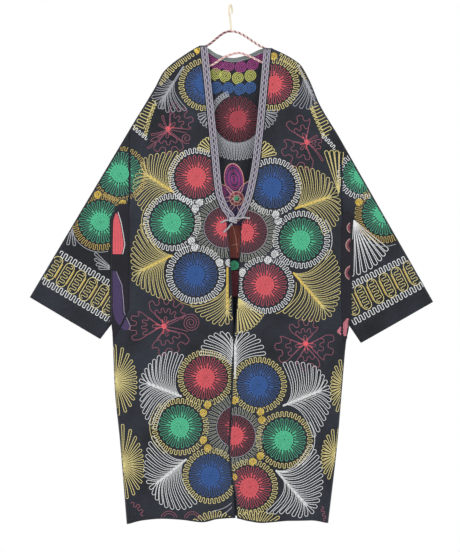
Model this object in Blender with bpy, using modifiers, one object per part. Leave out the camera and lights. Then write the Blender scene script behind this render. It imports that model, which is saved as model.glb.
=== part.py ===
"""A wide embroidered robe with dropped sleeves, on a yarn-wrapped wire hanger.

The robe hangs flat: two fronts, a back, two sleeves and two side gussets, each a thin
wall of cloth. Left and right are the viewer's, who looks along +Y at the fronts.
The origin is the inside of the hook's crook, on the rail that holds it up.
Tables are in millimetres and the meshes in metres.
"""
import math

import bpy
import numpy as np

MM = 0.001
WALL = 1.5              # cloth, thread and backing together
SEAM_GAP = 0.3          # between two pieces that are sewn to each other
CURVED_SEAM_GAP = 0.5   # the same, where one of them turns away
FOLD_RADIUS = 9.0       # how far from a fold the cloth has rounded over

# The fold over shoulder and sleeve, as (distance from the centre, height).
TOP_LINE = {
    "left": [(60, -98), (72, -101), (123, -130), (173, -171), (196, -213), (259, -317), (521, -757)],
    "right": [(76, -100), (92, -105), (178, -150), (204, -192), (230, -254), (280, -338), (526, -769)],
}
# The fold down each side of the body, as (height, distance from the centre).
SIDE_LINE = {
    "left": [(-512, 287), (-562, 308), (-816, 308), (-881, 305), (-998, 300), (-1128, 287), (-1347, 269)],
    "right": [(-512, 304), (-562, 313), (-811, 309), (-881, 299), (-998, 289), (-1128, 278), (-1347, 253)],
}
# The free edge of each front, neck and opening, as (height, x).
FRONT_EDGE = {
    "left": [(-98, -79), (-393, -49), (-486, -39), (-530, -23), (-552, -9), (-608, -5), (-666, 1),
             (-764, 5), (-868, 9), (-1206, 8), (-1347, 14)],
    "right": [(-100, 106), (-393, 77), (-476, 62), (-517, 50), (-545, 37), (-562, 28), (-666, 22),
              (-764, 18), (-855, 9), (-1058, 1), (-1154, -3), (-1214, 3), (-1277, 13), (-1347, 18)],
}
# The hem and the back's neck, as (x, height).
HEM_LINE = [(-269, -1346), (-225, -1335), (-175, -1330), (-129, -1332), (-71, -1339), (-33, -1331),
            (12, -1328), (43, -1335), (81, -1341), (157, -1335), (207, -1335), (253, -1343)]
BACK_NECK_LINE = [(-77.5, -103), (-62, -107), (-34, -124), (5, -134), (45, -126), (87, -110), (104.5, -110.6)]

# Depth from the middle plane, as (height, depth): beside the folds, and in the middle.
SIDE_DEPTH = [(-98, 8), (-320, 7), (-480, 7), (-530, 12.6), (-830, 12.6), (-900, 11), (-1347, 12)]
MIDDLE_DEPTH = [(-98, 8), (-200, 10), (-350, 15), (-560, 18), (-900, 17), (-1347, 21)]
DEPTH_RISE = 110.0      # how far inwards the side's depth grows to the middle's
FOLD_CLEAR = 30.0       # how far inwards an upright fold reaches its full height
OVERLAP_LIFT = [(-780, 0), (-850, 3.2), (-1347, 3.2)]   # right front over left, by height
OVERLAP_REACH = 70.0

# Soft upright folds: x, half width, height of the ridge, and where each starts and ends.
FRONT_FOLDS = [(-95, 34, 2.5, -240, -440), (118, 34, 2.5, -230, -450), (-226, 26, 2.0, -380, -600),
               (240, 26, 2.0, -400, -640), (-232, 30, -2.4, -900, -1400), (-118, 38, 2.6, -980, -1400),
               (-45, 26, -2.2, -1150, -1400), (92, 30, -2.2, -1000, -1400), (176, 36, 2.6, -930, -1400)]
BACK_FOLDS = [(-180, 40, 2.4, -300, -700), (60, 50, 2.2, -420, -900), (190, 36, 2.4, -330, -760),
              (-210, 34, -2.4, -950, -1400), (-100, 40, 2.8, -900, -1400), (20, 36, -2.4, -1050, -1400),
              (130, 40, 2.8, -960, -1400)]
FOLD_FADE = 70.0        # length over which a fold comes and goes

ARMHOLE = {"left": 262.0, "right": 288.0}       # seam's distance from the centre
ARMHOLE_FOOT = -480.0   # the armhole seam gives way to the side fold below this height,
ARMHOLE_TURN = 60.0     # over this length
# The gusset by height: its front and back seams and its inner crease, both measured
# inwards from the side fold, and how far the tuck has opened into a plain fold.
GUSSET = {
    "left": [(-516, 27, 45, 0), (-562, 46, 65, 0), (-775, 46, 65, 0), (-832, 24, 13, 0),
             (-850, 13, 8, 0.5), (-868, 5, 3, 0.9), (-884, 0.6, 0.3, 1)],
    "right": [(-540, 20, 40, 0), (-584, 25, 48, 0), (-790, 22, 46, 0), (-846, 16, 11, 0),
              (-863, 10, 7, 0.5), (-880, 5, 3, 0.9), (-896, 0.6, 0.3, 1)],
}
INNER_LEAF_DEPTH = 9.4  # the gusset's tucked leaf, over the sleeve
SLEEVE_DEPTH = [(262, 7), (330, 7), (430, 10), (526, 10)]   # by distance from the centre
SLEEVE_WIDTH = {"left": (228.0, 212.0), "right": (222.0, 215.0)}    # at the armhole, at the cuff
SLEEVE_STEPS = (0, 0.8, 2.4, 5.2, 9.5)  # millimetres from the sleeve's folds
SLEEVE_ROWS = 13

BAND_WIDTH = 18.0
BAND_WALL = 2.6         # braid on a folded strip
BAND_END = {"left": -557.0, "right": -552.0}
NECK_BEND = (-470, -500, -520, -534, -546, -556)    # heights where the neck edge turns in
BACK_BAND_WIDTH = 10.0
BACK_BAND_TIP = 1.5     # its width at the shoulders,
BACK_BAND_TAPER = 22.0  # and the length over which it narrows
NECK_JOIN = 1.0         # how far past the ends of its binding the back's neck runs
NECK_RISE = 0.6         # and how soon the back is up at the shoulder fold from there

KNOT_PLACE = (7.0, -557.0)
KNOT_SIZE = (11.0, 4.5, 8.0)
TIE_RADIUS = 2.6
TIES = {        # each end of the tie, as (x, height) from the knot outwards
    "tie_end_left": [(-4.3, -557), (-14, -559), (-25, -564)],
    "tie_end_low": [(3.5, -566), (-4, -576), (-18, -589)],
    "tie_end_right": [(17.8, -554), (34, -551), (50, -553)],
}

WIRE_RADIUS = 3.0       # hanger wire with its yarn
HOOK_RADIUS = 2.8       # hook with its wrapping
CROOK_INSIDE = 13.0
CROOK_ARC = (235, -15, 13)      # degrees at its start and its end, and points
HOOK_STEM = [(10, 0), (18, -1.5)]       # rise above the arms, and lean in the crook's plane
HOOK_TURN = math.radians(75)    # the crook's plane, turned from the robe's plane
HANGER_PEAK = (1.0, -66.0)
ARM_SPAN = {"left": (64, 153), "right": (86, 165)}     # where the cloth hangs on each arm
ARM_SEAT = 1.35         # the arm's clearance under the cloth's faceted fold
ARM_TIP = (3.0, 9.0)    # the bend at an arm's tip, outwards and down from its last seat
ARM_LEVEL = (5.0, 0.2)  # its level start at the peak: length and drop
BAR_JOIN = 6.0          # how far from the bar an arm already points along it
BAR_LINE = [(-150, -181), (-110, -174), (-48, -153), (-12, -131), (22, -122), (49, -131),
            (90, -150), (130, -163), (162, -171)]

# How finely the meshes follow the shapes above.
SHOULDER_PLACES = {"left": (230, 196, 173, 150, 123, 100), "right": (254, 230, 204, 178, 150, 128)}
NECK_PLACES = (-70, -48, -22, 5, 40, 72, 96)
EDGE_STEPS = (0, 0.1, 1.6, 4.6, 9.5)    # millimetres from a fold
TOP_STEPS = (0, 0.15, 3, 8.5, 17)       # the same, measured down a sloping shoulder
BODY_LENGTH = 1230.0
BODY_ROWS = 17
HANGER_STEPS = {"arm": 34, "bar": 26, "hook": 34, "tie": 7}


def smooth(table, place, column=1):
    """Value at a place on a smooth line through a table's rows, with no overshoot."""
    rows = np.array(sorted(row for row in table), float)
    knots, values = rows[:, 0], rows[:, column]
    span = np.diff(knots)
    grade = np.diff(values) / span
    slopes = np.zeros(len(knots))
    inner = grade[:-1] * grade[1:] > 0
    harmonic = 2 * grade[:-1] * grade[1:] / np.where(inner, grade[:-1] + grade[1:], 1.0)
    slopes[1:-1] = np.where(inner, harmonic, 0.0)
    slopes[0], slopes[-1] = grade[0], grade[-1]
    place = np.clip(np.asarray(place, float), knots[0], knots[-1])
    cell = np.clip(np.searchsorted(knots, place) - 1, 0, len(span) - 1)
    t = (place - knots[cell]) / span[cell]
    start, end = values[cell], values[cell + 1]
    rise_in, rise_out = slopes[cell] * span[cell], slopes[cell + 1] * span[cell]
    return (start * (1 + 2 * t) * (1 - t) ** 2 + end * t * t * (3 - 2 * t)
            + rise_in * t * (1 - t) ** 2 - rise_out * t * t * (1 - t))


def ease(value):
    """0 to 1 with level ends."""
    t = np.clip(value, 0, 1)
    return t * t * (3 - 2 * t)


def mix(a, b, t):
    return a + (b - a) * t


def rounded(distance):
    """Share of the full depth at a distance from a fold: a quarter ellipse."""
    q = np.clip(np.asarray(distance, float) / FOLD_RADIUS, 0, 1)
    return np.sqrt(1 - (1 - q) ** 2)


def by_side(x, left, right):
    return np.where(np.asarray(x) < 0, left, right)


def top_height(x):
    out = np.abs(x)
    return by_side(x, smooth(TOP_LINE["left"], out), smooth(TOP_LINE["right"], out))


def below_top(x, z):
    """Distance of a point from the shoulder's and sleeve's fold."""
    step = 1.0
    grade = (top_height(x + step) - top_height(x - step)) / (2 * step)
    return (top_height(x) - z) / np.sqrt(1 + grade ** 2)


def body_reach(x, z):
    """Where the body ends sideways: the armhole seam above, the side fold below."""
    reach = []
    for side in ("left", "right"):
        fold = smooth(SIDE_LINE[side], z)
        reach.append(mix(ARMHOLE[side], fold, ease((ARMHOLE_FOOT - z) / ARMHOLE_TURN)))
    return by_side(x, reach[0], reach[1])


def tuck_opening(x, z):
    """0 where the gusset is tucked in, 1 where the side is a plain fold."""
    return by_side(x, smooth(GUSSET["left"], z, 3), smooth(GUSSET["right"], z, 3))


def fold_height(folds, x, z):
    total = 0.0
    for centre, half_width, height, start, end in folds:
        window = ease((start - z) / FOLD_FADE) * ease((z - end) / FOLD_FADE)
        total = total + height * np.exp(-((x - centre) / half_width) ** 2) * window
    return total


def body_depth(x, z, folds):
    """Depth of the front or back wall from the middle plane."""
    x, z = np.asarray(x, float), np.asarray(z, float)
    inwards = body_reach(x, z) - np.abs(x)
    depth = mix(smooth(SIDE_DEPTH, z), smooth(MIDDLE_DEPTH, z), ease(inwards / DEPTH_RISE))
    depth = depth + fold_height(folds, x, z) * ease(inwards / FOLD_CLEAR)
    side_fold = mix(1.0, rounded(inwards), tuck_opening(x, z))
    return depth * rounded(below_top(x, z)) * side_fold


def overlap_lift(x, z):
    """The right front lies over the left one near its free edge."""
    return smooth(OVERLAP_LIFT, z) * ease(1 - (x - smooth(FRONT_EDGE["right"], z)) / OVERLAP_REACH)


def seam_out(side, z):
    """Outer seam of the front and the back, from the centre."""
    inset = smooth([(row[0], row[1]) for row in GUSSET[side]], z)
    fold = smooth(SIDE_LINE[side], z)
    above = z > GUSSET[side][0][0] + 1
    below = z < GUSSET[side][-1][0] - 1
    sewn = fold - inset - CURVED_SEAM_GAP / 2
    return np.where(above, ARMHOLE[side] - CURVED_SEAM_GAP / 2, np.where(below, fold, sewn))


# Meshes

def collection(name):
    group = bpy.data.collections.new(name)
    bpy.context.scene.collection.children.link(group)
    return group


def material(name, colour, roughness, metallic=0.0):
    finish = bpy.data.materials.new(name)
    finish.use_nodes = True
    shader = finish.node_tree.nodes["Principled BSDF"]
    shader.inputs["Base Color"].default_value = (*colour, 1.0)
    shader.inputs["Roughness"].default_value = roughness
    shader.inputs["Metallic"].default_value = metallic
    return finish


def grid_object(name, points, finish, wall, closed=False):
    """A wall of cloth on a grid of millimetre points, rows first."""
    rows, columns = points.shape[:2]
    faces = []
    for i in range(rows - 1):
        for j in range(columns - (0 if closed else 1)):
            k = (j + 1) % columns
            faces.append((i * columns + j, i * columns + k, (i + 1) * columns + k, (i + 1) * columns + j))
    mesh = bpy.data.meshes.new(name)
    mesh.from_pydata((points.reshape(-1, 3) * MM).tolist(), [], faces)
    mesh.validate()
    mesh.shade_smooth()
    mesh.materials.append(finish)
    piece = bpy.data.objects.new(name, mesh)
    part.objects.link(piece)
    shell = piece.modifiers.new("wall", "SOLIDIFY")
    shell.thickness = wall * MM
    shell.offset = 0
    shell.use_even_offset = True
    return piece


def tube_object(name, points, radius, finish, sides=3):
    """A round wire or cord through millimetre points."""
    curve = bpy.data.curves.new(name, "CURVE")
    curve.dimensions = "3D"
    curve.bevel_depth = radius * MM
    curve.bevel_resolution = sides
    curve.use_fill_caps = True
    spline = curve.splines.new("POLY")
    spline.points.add(len(points) - 1)
    for point, place in zip(spline.points, points):
        point.co = (place[0] * MM, place[1] * MM, place[2] * MM, 1)
    curve.materials.append(finish)
    piece = bpy.data.objects.new(name, curve)
    part.objects.link(piece)
    return piece


def route(rows, count):
    """Evenly spaced points on a smooth curve through a few (x, y, z) rows."""
    rows = np.array(rows, float)
    lengths = np.concatenate([[0], np.cumsum(np.linalg.norm(np.diff(rows, axis=0), axis=1))])
    places = np.linspace(0, lengths[-1], count)
    return np.stack([smooth(list(zip(lengths, rows[:, k])), places) for k in range(3)], axis=-1)


def spread(edge_steps, width, count, both=True):
    """Places from 0 to 1, close together beside a fold and even elsewhere."""
    near = [step / width for step in edge_steps]
    far = [1 - step for step in reversed(near)] if both else [1.0]
    middle = np.linspace(near[-1], far[0], count + 1)[1:-1]
    return np.array(near + list(middle) + far)


def panel_points(across, down, left_edge, right_edge, top, hem, depth_at):
    """Grid between two upright edges, a top line and a hem, with its depth as y."""
    first = mix(-ARMHOLE["left"], ARMHOLE["right"], across)
    for _ in range(12):
        first = mix(left_edge(top(first)), right_edge(top(first)), across)
    last = mix(left_edge(hem(first)), right_edge(hem(first)), across)
    z = mix(top(first)[None, :], hem(last)[None, :], down[:, None])
    x = mix(left_edge(z), right_edge(z), across[None, :])
    return np.stack([x, depth_at(x, z), z], axis=-1)


def hem_height(x):
    return smooth(HEM_LINE, x)


def body_rows():
    """Shares of the way down a panel, with rows where the neck and the gusset turn."""
    side_top, side_hem = float(top_height(-ARMHOLE["left"])), HEM_LINE[0][1]
    turns = [(side_top - row[0]) / (side_top - side_hem) for row in GUSSET["left"]]
    turns.append((side_top - GUSSET["left"][-1][0] + 3) / (side_top - side_hem))
    neck_top, opening_hem = float(top_height(FRONT_EDGE["left"][0][1])), float(hem_height(0))
    turns += [(neck_top - height) / (neck_top - opening_hem) for height in NECK_BEND]
    even = spread(TOP_STEPS, BODY_LENGTH, BODY_ROWS, both=False)
    clear = [v for v in even if min(abs(v - row) for row in turns) > 0.012]
    return np.array(sorted(clear + turns))


def front_points(side):
    """One front: shoulder fold, armhole and gusset seams, side fold, hem and free edge."""
    sign = -1 if side == "left" else 1

    def outer(z):
        return sign * seam_out(side, z)

    def inner(z):
        return smooth(FRONT_EDGE[side], z)

    def depth_at(x, z):
        depth = body_depth(x, z, FRONT_FOLDS)
        if side == "right":
            depth = depth + overlap_lift(x, z)
        return -np.maximum(depth, SEAM_GAP / 2)

    neck_out = abs(FRONT_EDGE[side][0][1])
    places = np.array([*(ARMHOLE[side] - np.array(EDGE_STEPS)), *SHOULDER_PLACES[side], neck_out])
    across = (ARMHOLE[side] - places) / (ARMHOLE[side] - neck_out)
    if side == "right":
        across = 1 - across[::-1]
    edges = (outer, inner) if side == "left" else (inner, outer)
    return panel_points(across, body_rows(), *edges, top_height, hem_height, depth_at)


def seam_heights(side, edge):
    """Heights of a front's points along its outer or free edge, for the piece beside it."""
    points = front_points(side)
    column = 0 if (side == "left") == (edge == "outer") else -1
    return points[:, column, 2]


def back_band_width(x):
    """The binding narrows to a point at the shoulders."""
    ends = np.minimum(x - BACK_NECK_LINE[0][0], BACK_NECK_LINE[-1][0] - x)
    return mix(BACK_BAND_TIP, BACK_BAND_WIDTH, ease(ends / BACK_BAND_TAPER))


def back_neck_places(reach):
    """Places along the back's neck, from a little past one end of its line to the other."""
    return np.array([BACK_NECK_LINE[0][0] - reach, *NECK_PLACES, BACK_NECK_LINE[-1][0] + reach])


def back(finish):
    """The back, one piece from side to side, with its neck scooped out."""

    def top(x):
        neck = smooth(BACK_NECK_LINE, x) - back_band_width(x) - 2 * SEAM_GAP
        reach = NECK_JOIN + NECK_RISE / 2
        inside = (x > BACK_NECK_LINE[0][0] - reach) & (x < BACK_NECK_LINE[-1][0] + reach)
        return np.where(inside, np.minimum(neck, top_height(x)), top_height(x))

    def left(z):
        return -seam_out("left", z)

    def right(z):
        return seam_out("right", z)

    def depth_at(x, z):
        return np.maximum(body_depth(x, z, BACK_FOLDS), SEAM_GAP / 2)

    neck = back_neck_places(NECK_JOIN)
    steps = np.array(EDGE_STEPS)
    places = np.concatenate([
        steps - ARMHOLE["left"], -np.array(SHOULDER_PLACES["left"]), [neck[0] - NECK_RISE], neck,
        [neck[-1] + NECK_RISE], SHOULDER_PLACES["right"][::-1], ARMHOLE["right"] - steps[::-1]])
    across = (places - places[0]) / (places[-1] - places[0])
    points = panel_points(across, body_rows(), left, right, top, hem_height, depth_at)
    return grid_object("back", points[:, ::-1], finish, WALL)


def gusset_section(side, z):
    """Half a gusset across: front seam, side fold, tucked leaf and inner crease."""
    sign = -1 if side == "left" else 1
    fold = float(smooth(SIDE_LINE[side], z))
    crease_inset, opening = (float(smooth(GUSSET[side], z, k)) for k in (2, 3))
    crease = fold - crease_inset
    inset = fold - float(seam_out(side, z)) - CURVED_SEAM_GAP
    out = fold - inset * np.array([1.0, 0.55, 0.12])
    leaf = body_depth(sign * out, z, FRONT_FOLDS)
    turn = (leaf[-1] + INNER_LEAF_DEPTH) / 2
    tucked_out = np.array([*out, fold, mix(fold, crease, 0.08), mix(fold, crease, 0.5),
                           mix(fold, crease, 0.88), mix(fold, crease, 0.98), crease])
    tucked_depth = np.array([*leaf, turn, INNER_LEAF_DEPTH, INNER_LEAF_DEPTH,
                             INNER_LEAF_DEPTH * 0.9, INNER_LEAF_DEPTH * 0.45, 0])
    plain_out = fold - inset * np.linspace(1, 0, len(tucked_out)) ** 2
    plain_depth = body_depth(sign * plain_out, z, FRONT_FOLDS)
    plain_depth[-1] = 0
    return mix(tucked_out, plain_out, opening) * sign, mix(tucked_depth, plain_depth, opening)


def gusset(side, finish):
    """The side gusset: tucked in under the arm, with the sleeve in its tuck."""
    heights = seam_heights(side, "outer")
    inside = (heights < GUSSET[side][0][0] + 1) & (heights > GUSSET[side][-1][0] - 1)
    rows = []
    for z in heights[inside]:
        x, depth = gusset_section(side, z)
        half = [(a, -b, z) for a, b in zip(x, depth)]
        rows.append(half + [(a, -b, z) for a, b, z in reversed(half[:-1])])
    points = np.array(rows)
    if side == "right":
        points = points[:, ::-1]
    return grid_object("gusset_" + side, points, finish, WALL)


def sleeve(side, finish):
    """One sleeve: a flattened tube from the armhole seam to the cuff."""
    sign = -1 if side == "left" else 1
    start, cuff = (np.array(row, float) for row in TOP_LINE[side][-2:])
    length = np.linalg.norm(cuff - start)
    along = (cuff - start) / length
    across = np.array([along[1], -along[0]])
    near, far = SLEEVE_WIDTH[side]
    half = spread(SLEEVE_STEPS, far, 4)
    ring = np.concatenate([half, half[-2:0:-1]])
    face = np.concatenate([-np.ones(len(half)), np.ones(len(half) - 2)])
    rows = []
    for v in np.linspace(0, 1, SLEEVE_ROWS):
        width = mix(near, far, v)
        w = ring * width
        first = (ARMHOLE[side] + CURVED_SEAM_GAP / 2 - start[0] - w * across[0]) / along[0]
        s = mix(first, length, v)
        out = start[0] + s * along[0] + w * across[0]
        z = start[1] + s * along[1] + w * across[1]
        depth = smooth(SLEEVE_DEPTH, out) * rounded(w) * rounded(width - w)
        rows.append(np.stack([sign * out, face * depth, z], axis=-1))
    points = np.array(rows)
    if side == "left":
        points = points[:, ::-1]
    return grid_object("sleeve_" + side, points, finish, WALL, closed=True)


def front_band(side, finish):
    """Braided band along one side of the neck, from the shoulder to the tie."""
    sign = -1 if side == "left" else 1
    z = seam_heights(side, "free")
    z = z[z > BAND_END[side]]
    edge = smooth(FRONT_EDGE[side], z)
    stretch = np.sqrt(1 + ((smooth(FRONT_EDGE[side], z + 1) - smooth(FRONT_EDGE[side], z - 1)) / 2) ** 2)
    columns = []
    for share in np.linspace(0, 1, 4):
        x = edge - sign * (SEAM_GAP + BAND_WIDTH * share) * stretch
        depth = body_depth(x, z, FRONT_FOLDS)
        columns.append(np.stack([x, -np.maximum(depth, SEAM_GAP / 2), z], axis=-1))
    points = np.stack(columns, axis=1)
    if side == "right":
        points = points[:, ::-1]
    return grid_object("neck_band_" + side, points, finish, BAND_WALL)


def back_band(finish):
    """Binding of the back's neck, between the two front bands."""
    x = back_neck_places(0)
    rows = []
    for share in (0, 0.5, 1):
        z = np.minimum(smooth(BACK_NECK_LINE, x) - back_band_width(x) * share, top_height(x))
        rows.append(np.stack([x, np.maximum(body_depth(x, z, BACK_FOLDS), SEAM_GAP / 2), z], axis=-1))
    points = np.array(rows)[:, ::-1]
    return grid_object("neck_band_back", points, finish, WALL)


def surface_y(x, z, lift):
    """A point in front of the fronts, by a lift above their middle surface."""
    return -(float(body_depth(x, z, FRONT_FOLDS)) + lift)


def knot(finish):
    """The tied knot, a flattened ball over the ends of both bands."""
    x, z = KNOT_PLACE
    bpy.ops.mesh.primitive_uv_sphere_add(segments=16, ring_count=10, radius=1)
    piece = bpy.context.object
    piece.name = "tie_knot"
    piece.data.name = "tie_knot"
    piece.data.transform([[KNOT_SIZE[0] * MM, 0, 0, 0], [0, KNOT_SIZE[1] * MM, 0, 0],
                          [0, 0, KNOT_SIZE[2] * MM, 0], [0, 0, 0, 1]])
    piece.location = (x * MM, surface_y(x, z, BAND_WALL / 2 + SEAM_GAP + KNOT_SIZE[1]) * MM, z * MM)
    piece.data.shade_smooth()
    piece.data.materials.append(finish)
    for group in piece.users_collection:
        group.objects.unlink(piece)
    part.objects.link(piece)
    return piece


def tie_end(name, line, finish):
    lift = BAND_WALL / 2 + SEAM_GAP + TIE_RADIUS
    rows = [(x, surface_y(x, z, lift), z) for x, z in line]
    return tube_object(name, route(rows, HANGER_STEPS["tie"]), TIE_RADIUS, finish, 2)


def hanger_arm(side, finish):
    """One shoulder of the hanger, seated under the cloth's fold, and its bend to the bar."""
    sign = -1 if side == "left" else 1
    seat = WALL / 2 + ARM_SEAT + WIRE_RADIUS
    neck_out, tip_out = ARM_SPAN[side]
    places = front_points(side)[0, :, 0]
    outs = np.abs(places[(np.abs(places) < tip_out)])
    outs = np.unique(np.concatenate([[neck_out], outs, [tip_out]]))
    peak_x, peak_z = HANGER_PEAK
    rows = [(peak_x + sign * CURVED_SEAM_GAP / 2, 0, peak_z),
            (peak_x + sign * ARM_LEVEL[0], 0, peak_z - ARM_LEVEL[1])]
    for out in outs:
        x = sign * out
        grade = float(top_height(x + 1) - top_height(x - 1)) / 2
        lean = math.sqrt(1 + grade ** 2)
        rows.append((x + seat * grade / lean, 0, float(top_height(x)) - seat / lean))
    bar_end, bar_next = (BAR_LINE[0], BAR_LINE[1]) if side == "left" else (BAR_LINE[-1], BAR_LINE[-2])
    toward = np.array([bar_next[0] - bar_end[0], bar_next[1] - bar_end[1]], float)
    toward /= np.linalg.norm(toward)
    last = [(bar_end[0] - toward[0] * step, 0, bar_end[1] - toward[1] * step)
            for step in (BAR_JOIN, SEAM_GAP)]
    corner = (sign * (tip_out + ARM_TIP[0]), 0, rows[-1][2] - ARM_TIP[1])
    line = route(rows + [corner] + last, HANGER_STEPS["arm"])
    return tube_object("hanger_arm_" + side, line, WIRE_RADIUS, finish, 2)


def hanger_bar(finish):
    rows = [(x, 0, z) for x, z in BAR_LINE]
    return tube_object("hanger_bar", route(rows, HANGER_STEPS["bar"]), WIRE_RADIUS, finish, 2)


def hook(finish):
    """Wrapped hook, a question mark in a plane turned away from the robe's."""
    radius = CROOK_INSIDE + HOOK_RADIUS
    centre = -CROOK_INSIDE
    base = HANGER_PEAK[1] + WIRE_RADIUS + SEAM_GAP
    flat = [(0, base), *((a, base + rise) for rise, a in HOOK_STEM)]
    for angle in np.radians(np.linspace(*CROOK_ARC)):
        flat.append((radius * math.cos(angle), centre + radius * math.sin(angle)))
    rows = [(a * math.cos(HOOK_TURN) + HANGER_PEAK[0] * (b / base) ** 2, a * math.sin(HOOK_TURN), b)
            for a, b in flat]
    return tube_object("hanger_hook", route(rows, HANGER_STEPS["hook"]), HOOK_RADIUS, finish, 3)


for leftover in list(bpy.data.objects):
    bpy.data.objects.remove(leftover)
part = collection("embroidered_robe_on_hanger")

ground_cloth = material("charcoal_cotton_sateen", (0.024, 0.027, 0.036), 0.62)
gusset_cloth = material("plum_printed_cotton", (0.045, 0.03, 0.055), 0.7)
braid = material("lavender_silk_braid", (0.32, 0.29, 0.36), 0.6)
neck_binding = material("grey_green_binding", (0.16, 0.19, 0.19), 0.7)
tie_cord = material("silver_tie_cord", (0.55, 0.55, 0.53), 0.5)
yarn = material("pink_and_brown_yarn", (0.62, 0.42, 0.4), 0.85)
wrapping = material("cream_hook_wrapping", (0.78, 0.7, 0.52), 0.8)

for side in ("left", "right"):
    grid_object("front_" + side, front_points(side), ground_cloth, WALL)
    sleeve(side, ground_cloth)
    gusset(side, gusset_cloth)
    front_band(side, braid)
    hanger_arm(side, yarn)
back(ground_cloth)
back_band(neck_binding)
knot(tie_cord)
for name, line in TIES.items():
    tie_end(name, line, tie_cord)
hanger_bar(yarn)
hook(wrapping)
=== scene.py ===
# %% [markdown]
# # An embroidered robe on its hanger
# The robe is a wide cotton coat with dropped sleeves, worked all over in chain stitch and hung
# flat on a wire hanger wound with yarn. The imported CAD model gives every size; this script puts
# fine cloth, real raised thread, braid and yarn in its place.

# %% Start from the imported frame
import math

import bpy
import numpy as np
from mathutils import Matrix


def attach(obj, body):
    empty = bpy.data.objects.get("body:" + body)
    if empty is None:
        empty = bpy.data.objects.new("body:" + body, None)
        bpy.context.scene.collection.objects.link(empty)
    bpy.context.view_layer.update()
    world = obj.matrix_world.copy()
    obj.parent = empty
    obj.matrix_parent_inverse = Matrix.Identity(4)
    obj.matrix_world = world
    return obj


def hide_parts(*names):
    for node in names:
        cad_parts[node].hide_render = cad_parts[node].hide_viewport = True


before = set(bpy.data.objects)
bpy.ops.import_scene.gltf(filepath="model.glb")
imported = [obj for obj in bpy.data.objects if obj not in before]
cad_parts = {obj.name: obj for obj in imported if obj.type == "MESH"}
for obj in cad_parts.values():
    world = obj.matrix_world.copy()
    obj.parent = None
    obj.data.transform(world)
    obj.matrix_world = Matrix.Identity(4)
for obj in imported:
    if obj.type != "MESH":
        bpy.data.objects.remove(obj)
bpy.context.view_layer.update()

MM = 0.001

# %% [markdown]
# ## Colours and shader nodes
# Cloth and thread colours are easiest to read as sRGB hex values, the way a thread card gives
# them. Cycles works in linear light, so one function converts them. A second small function adds
# any shader node with its settings and links, which keeps each material short.

# %% Helpers for colours and nodes


def linear(code, alpha=1.0):
    """An sRGB hex value such as #c8b450 as a linear colour."""
    parts = [int(code[i:i + 2], 16) / 255 for i in (1, 3, 5)]
    return (*[c / 12.92 if c <= 0.04045 else ((c + 0.055) / 1.055) ** 2.4 for c in parts], alpha)


def add(tree, kind, settings=(), at=(), **inputs):
    """A shader node: its settings, its inputs by name or in order, values or other sockets."""
    node = tree.nodes.new(kind)
    for name, value in dict(settings).items():
        setattr(node, name, value)
    wanted = [(name.replace("_", " "), value) for name, value in inputs.items()]
    for key, value in [*wanted, *enumerate(at)]:
        if isinstance(value, bpy.types.NodeSocket):
            tree.links.new(value, node.inputs[key])
        else:
            node.inputs[key].default_value = value
    return node


def new_material(name):
    finish = bpy.data.materials.new(name)
    finish.use_nodes = True
    return finish, finish.node_tree, finish.node_tree.nodes["Principled BSDF"]


def band_scale(period):
    """Scale of a Wave texture whose bands repeat after a period in its own coordinates."""
    return 2 * math.pi / (20 * period)


# %% [markdown]
# ## Cotton sateen, plain cotton and binding
# Woven cotton shows three things: a slow change of tone, the fine grid of its threads, and a soft
# sheen from loose fibre ends. The tone is a large random noise that lightens patches of the cloth,
# partly as wear from handling and partly as a painted sheen; the grid is two crossed waves as bump,
# and the soft sheen from the fibre ends is the shader's own. Real threads lie 0.3 mm apart, too fine
# to show in a view of the whole robe, so the grid is drawn at 1.6 mm.

# %% Woven cloth

WEAVE_PITCH, WEAVE_RELIEF = 1.6 * MM, 0.25 * MM


def woven(name, dark, light):
    """Woven cotton: patches of wear and painted sheen 140 mm wide, slubs of 4 mm, and its grid of threads."""
    finish, tree, shader = new_material(name)
    place = add(tree, "ShaderNodeTexCoord").outputs["Object"]
    # Large random patches of a lighter tone: wear, and a painted sheen on the cloth.
    tone = add(tree, "ShaderNodeTexNoise", Vector=place, Scale=7.0, Detail=4.0, Roughness=0.6)
    slub = add(tree, "ShaderNodeTexNoise", Vector=place, Scale=240.0, Detail=2.0)
    both = add(tree, "ShaderNodeMath", {"operation": "MULTIPLY_ADD"},
               at=[slub.outputs["Fac"], 0.35, tone.outputs["Fac"]])
    ramp = add(tree, "ShaderNodeMapRange", at=[both.outputs[0], 0.5, 0.85, 0.0, 1.0])
    colour_and_painted_light = add(tree, "ShaderNodeMixRGB", Fac=ramp.outputs[0], Color1=linear(dark), Color2=linear(light))
    warp, weft = (add(tree, "ShaderNodeTexWave", {"bands_direction": way}, Vector=place,
                      Scale=band_scale(WEAVE_PITCH), Distortion=0.6) for way in "XZ")
    grid = add(tree, "ShaderNodeMath", {"operation": "ADD"}, at=[warp.outputs["Fac"], weft.outputs["Fac"]])
    bump = add(tree, "ShaderNodeBump", Strength=0.35, Distance=WEAVE_RELIEF, Height=grid.outputs[0])
    tree.links.new(colour_and_painted_light.outputs[0], shader.inputs["Base Color"])
    tree.links.new(bump.outputs[0], shader.inputs["Normal"])
    shader.inputs["Roughness"].default_value = 0.75
    shader.inputs["Specular IOR Level"].default_value = 0.3
    shader.inputs["Sheen Weight"].default_value = 0.08
    shader.inputs["Sheen Roughness"].default_value = 0.5
    return finish


charcoal_sateen = woven("charcoal_cotton_sateen", "#0d1017", "#242933")
plum_cotton = woven("plum_cotton", "#0f0d17", "#1a1622")
neck_binding = woven("grey_green_cotton_binding", "#58605f", "#7b8583")
print("woven cloths:", charcoal_sateen.name, plum_cotton.name, neck_binding.name)
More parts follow.
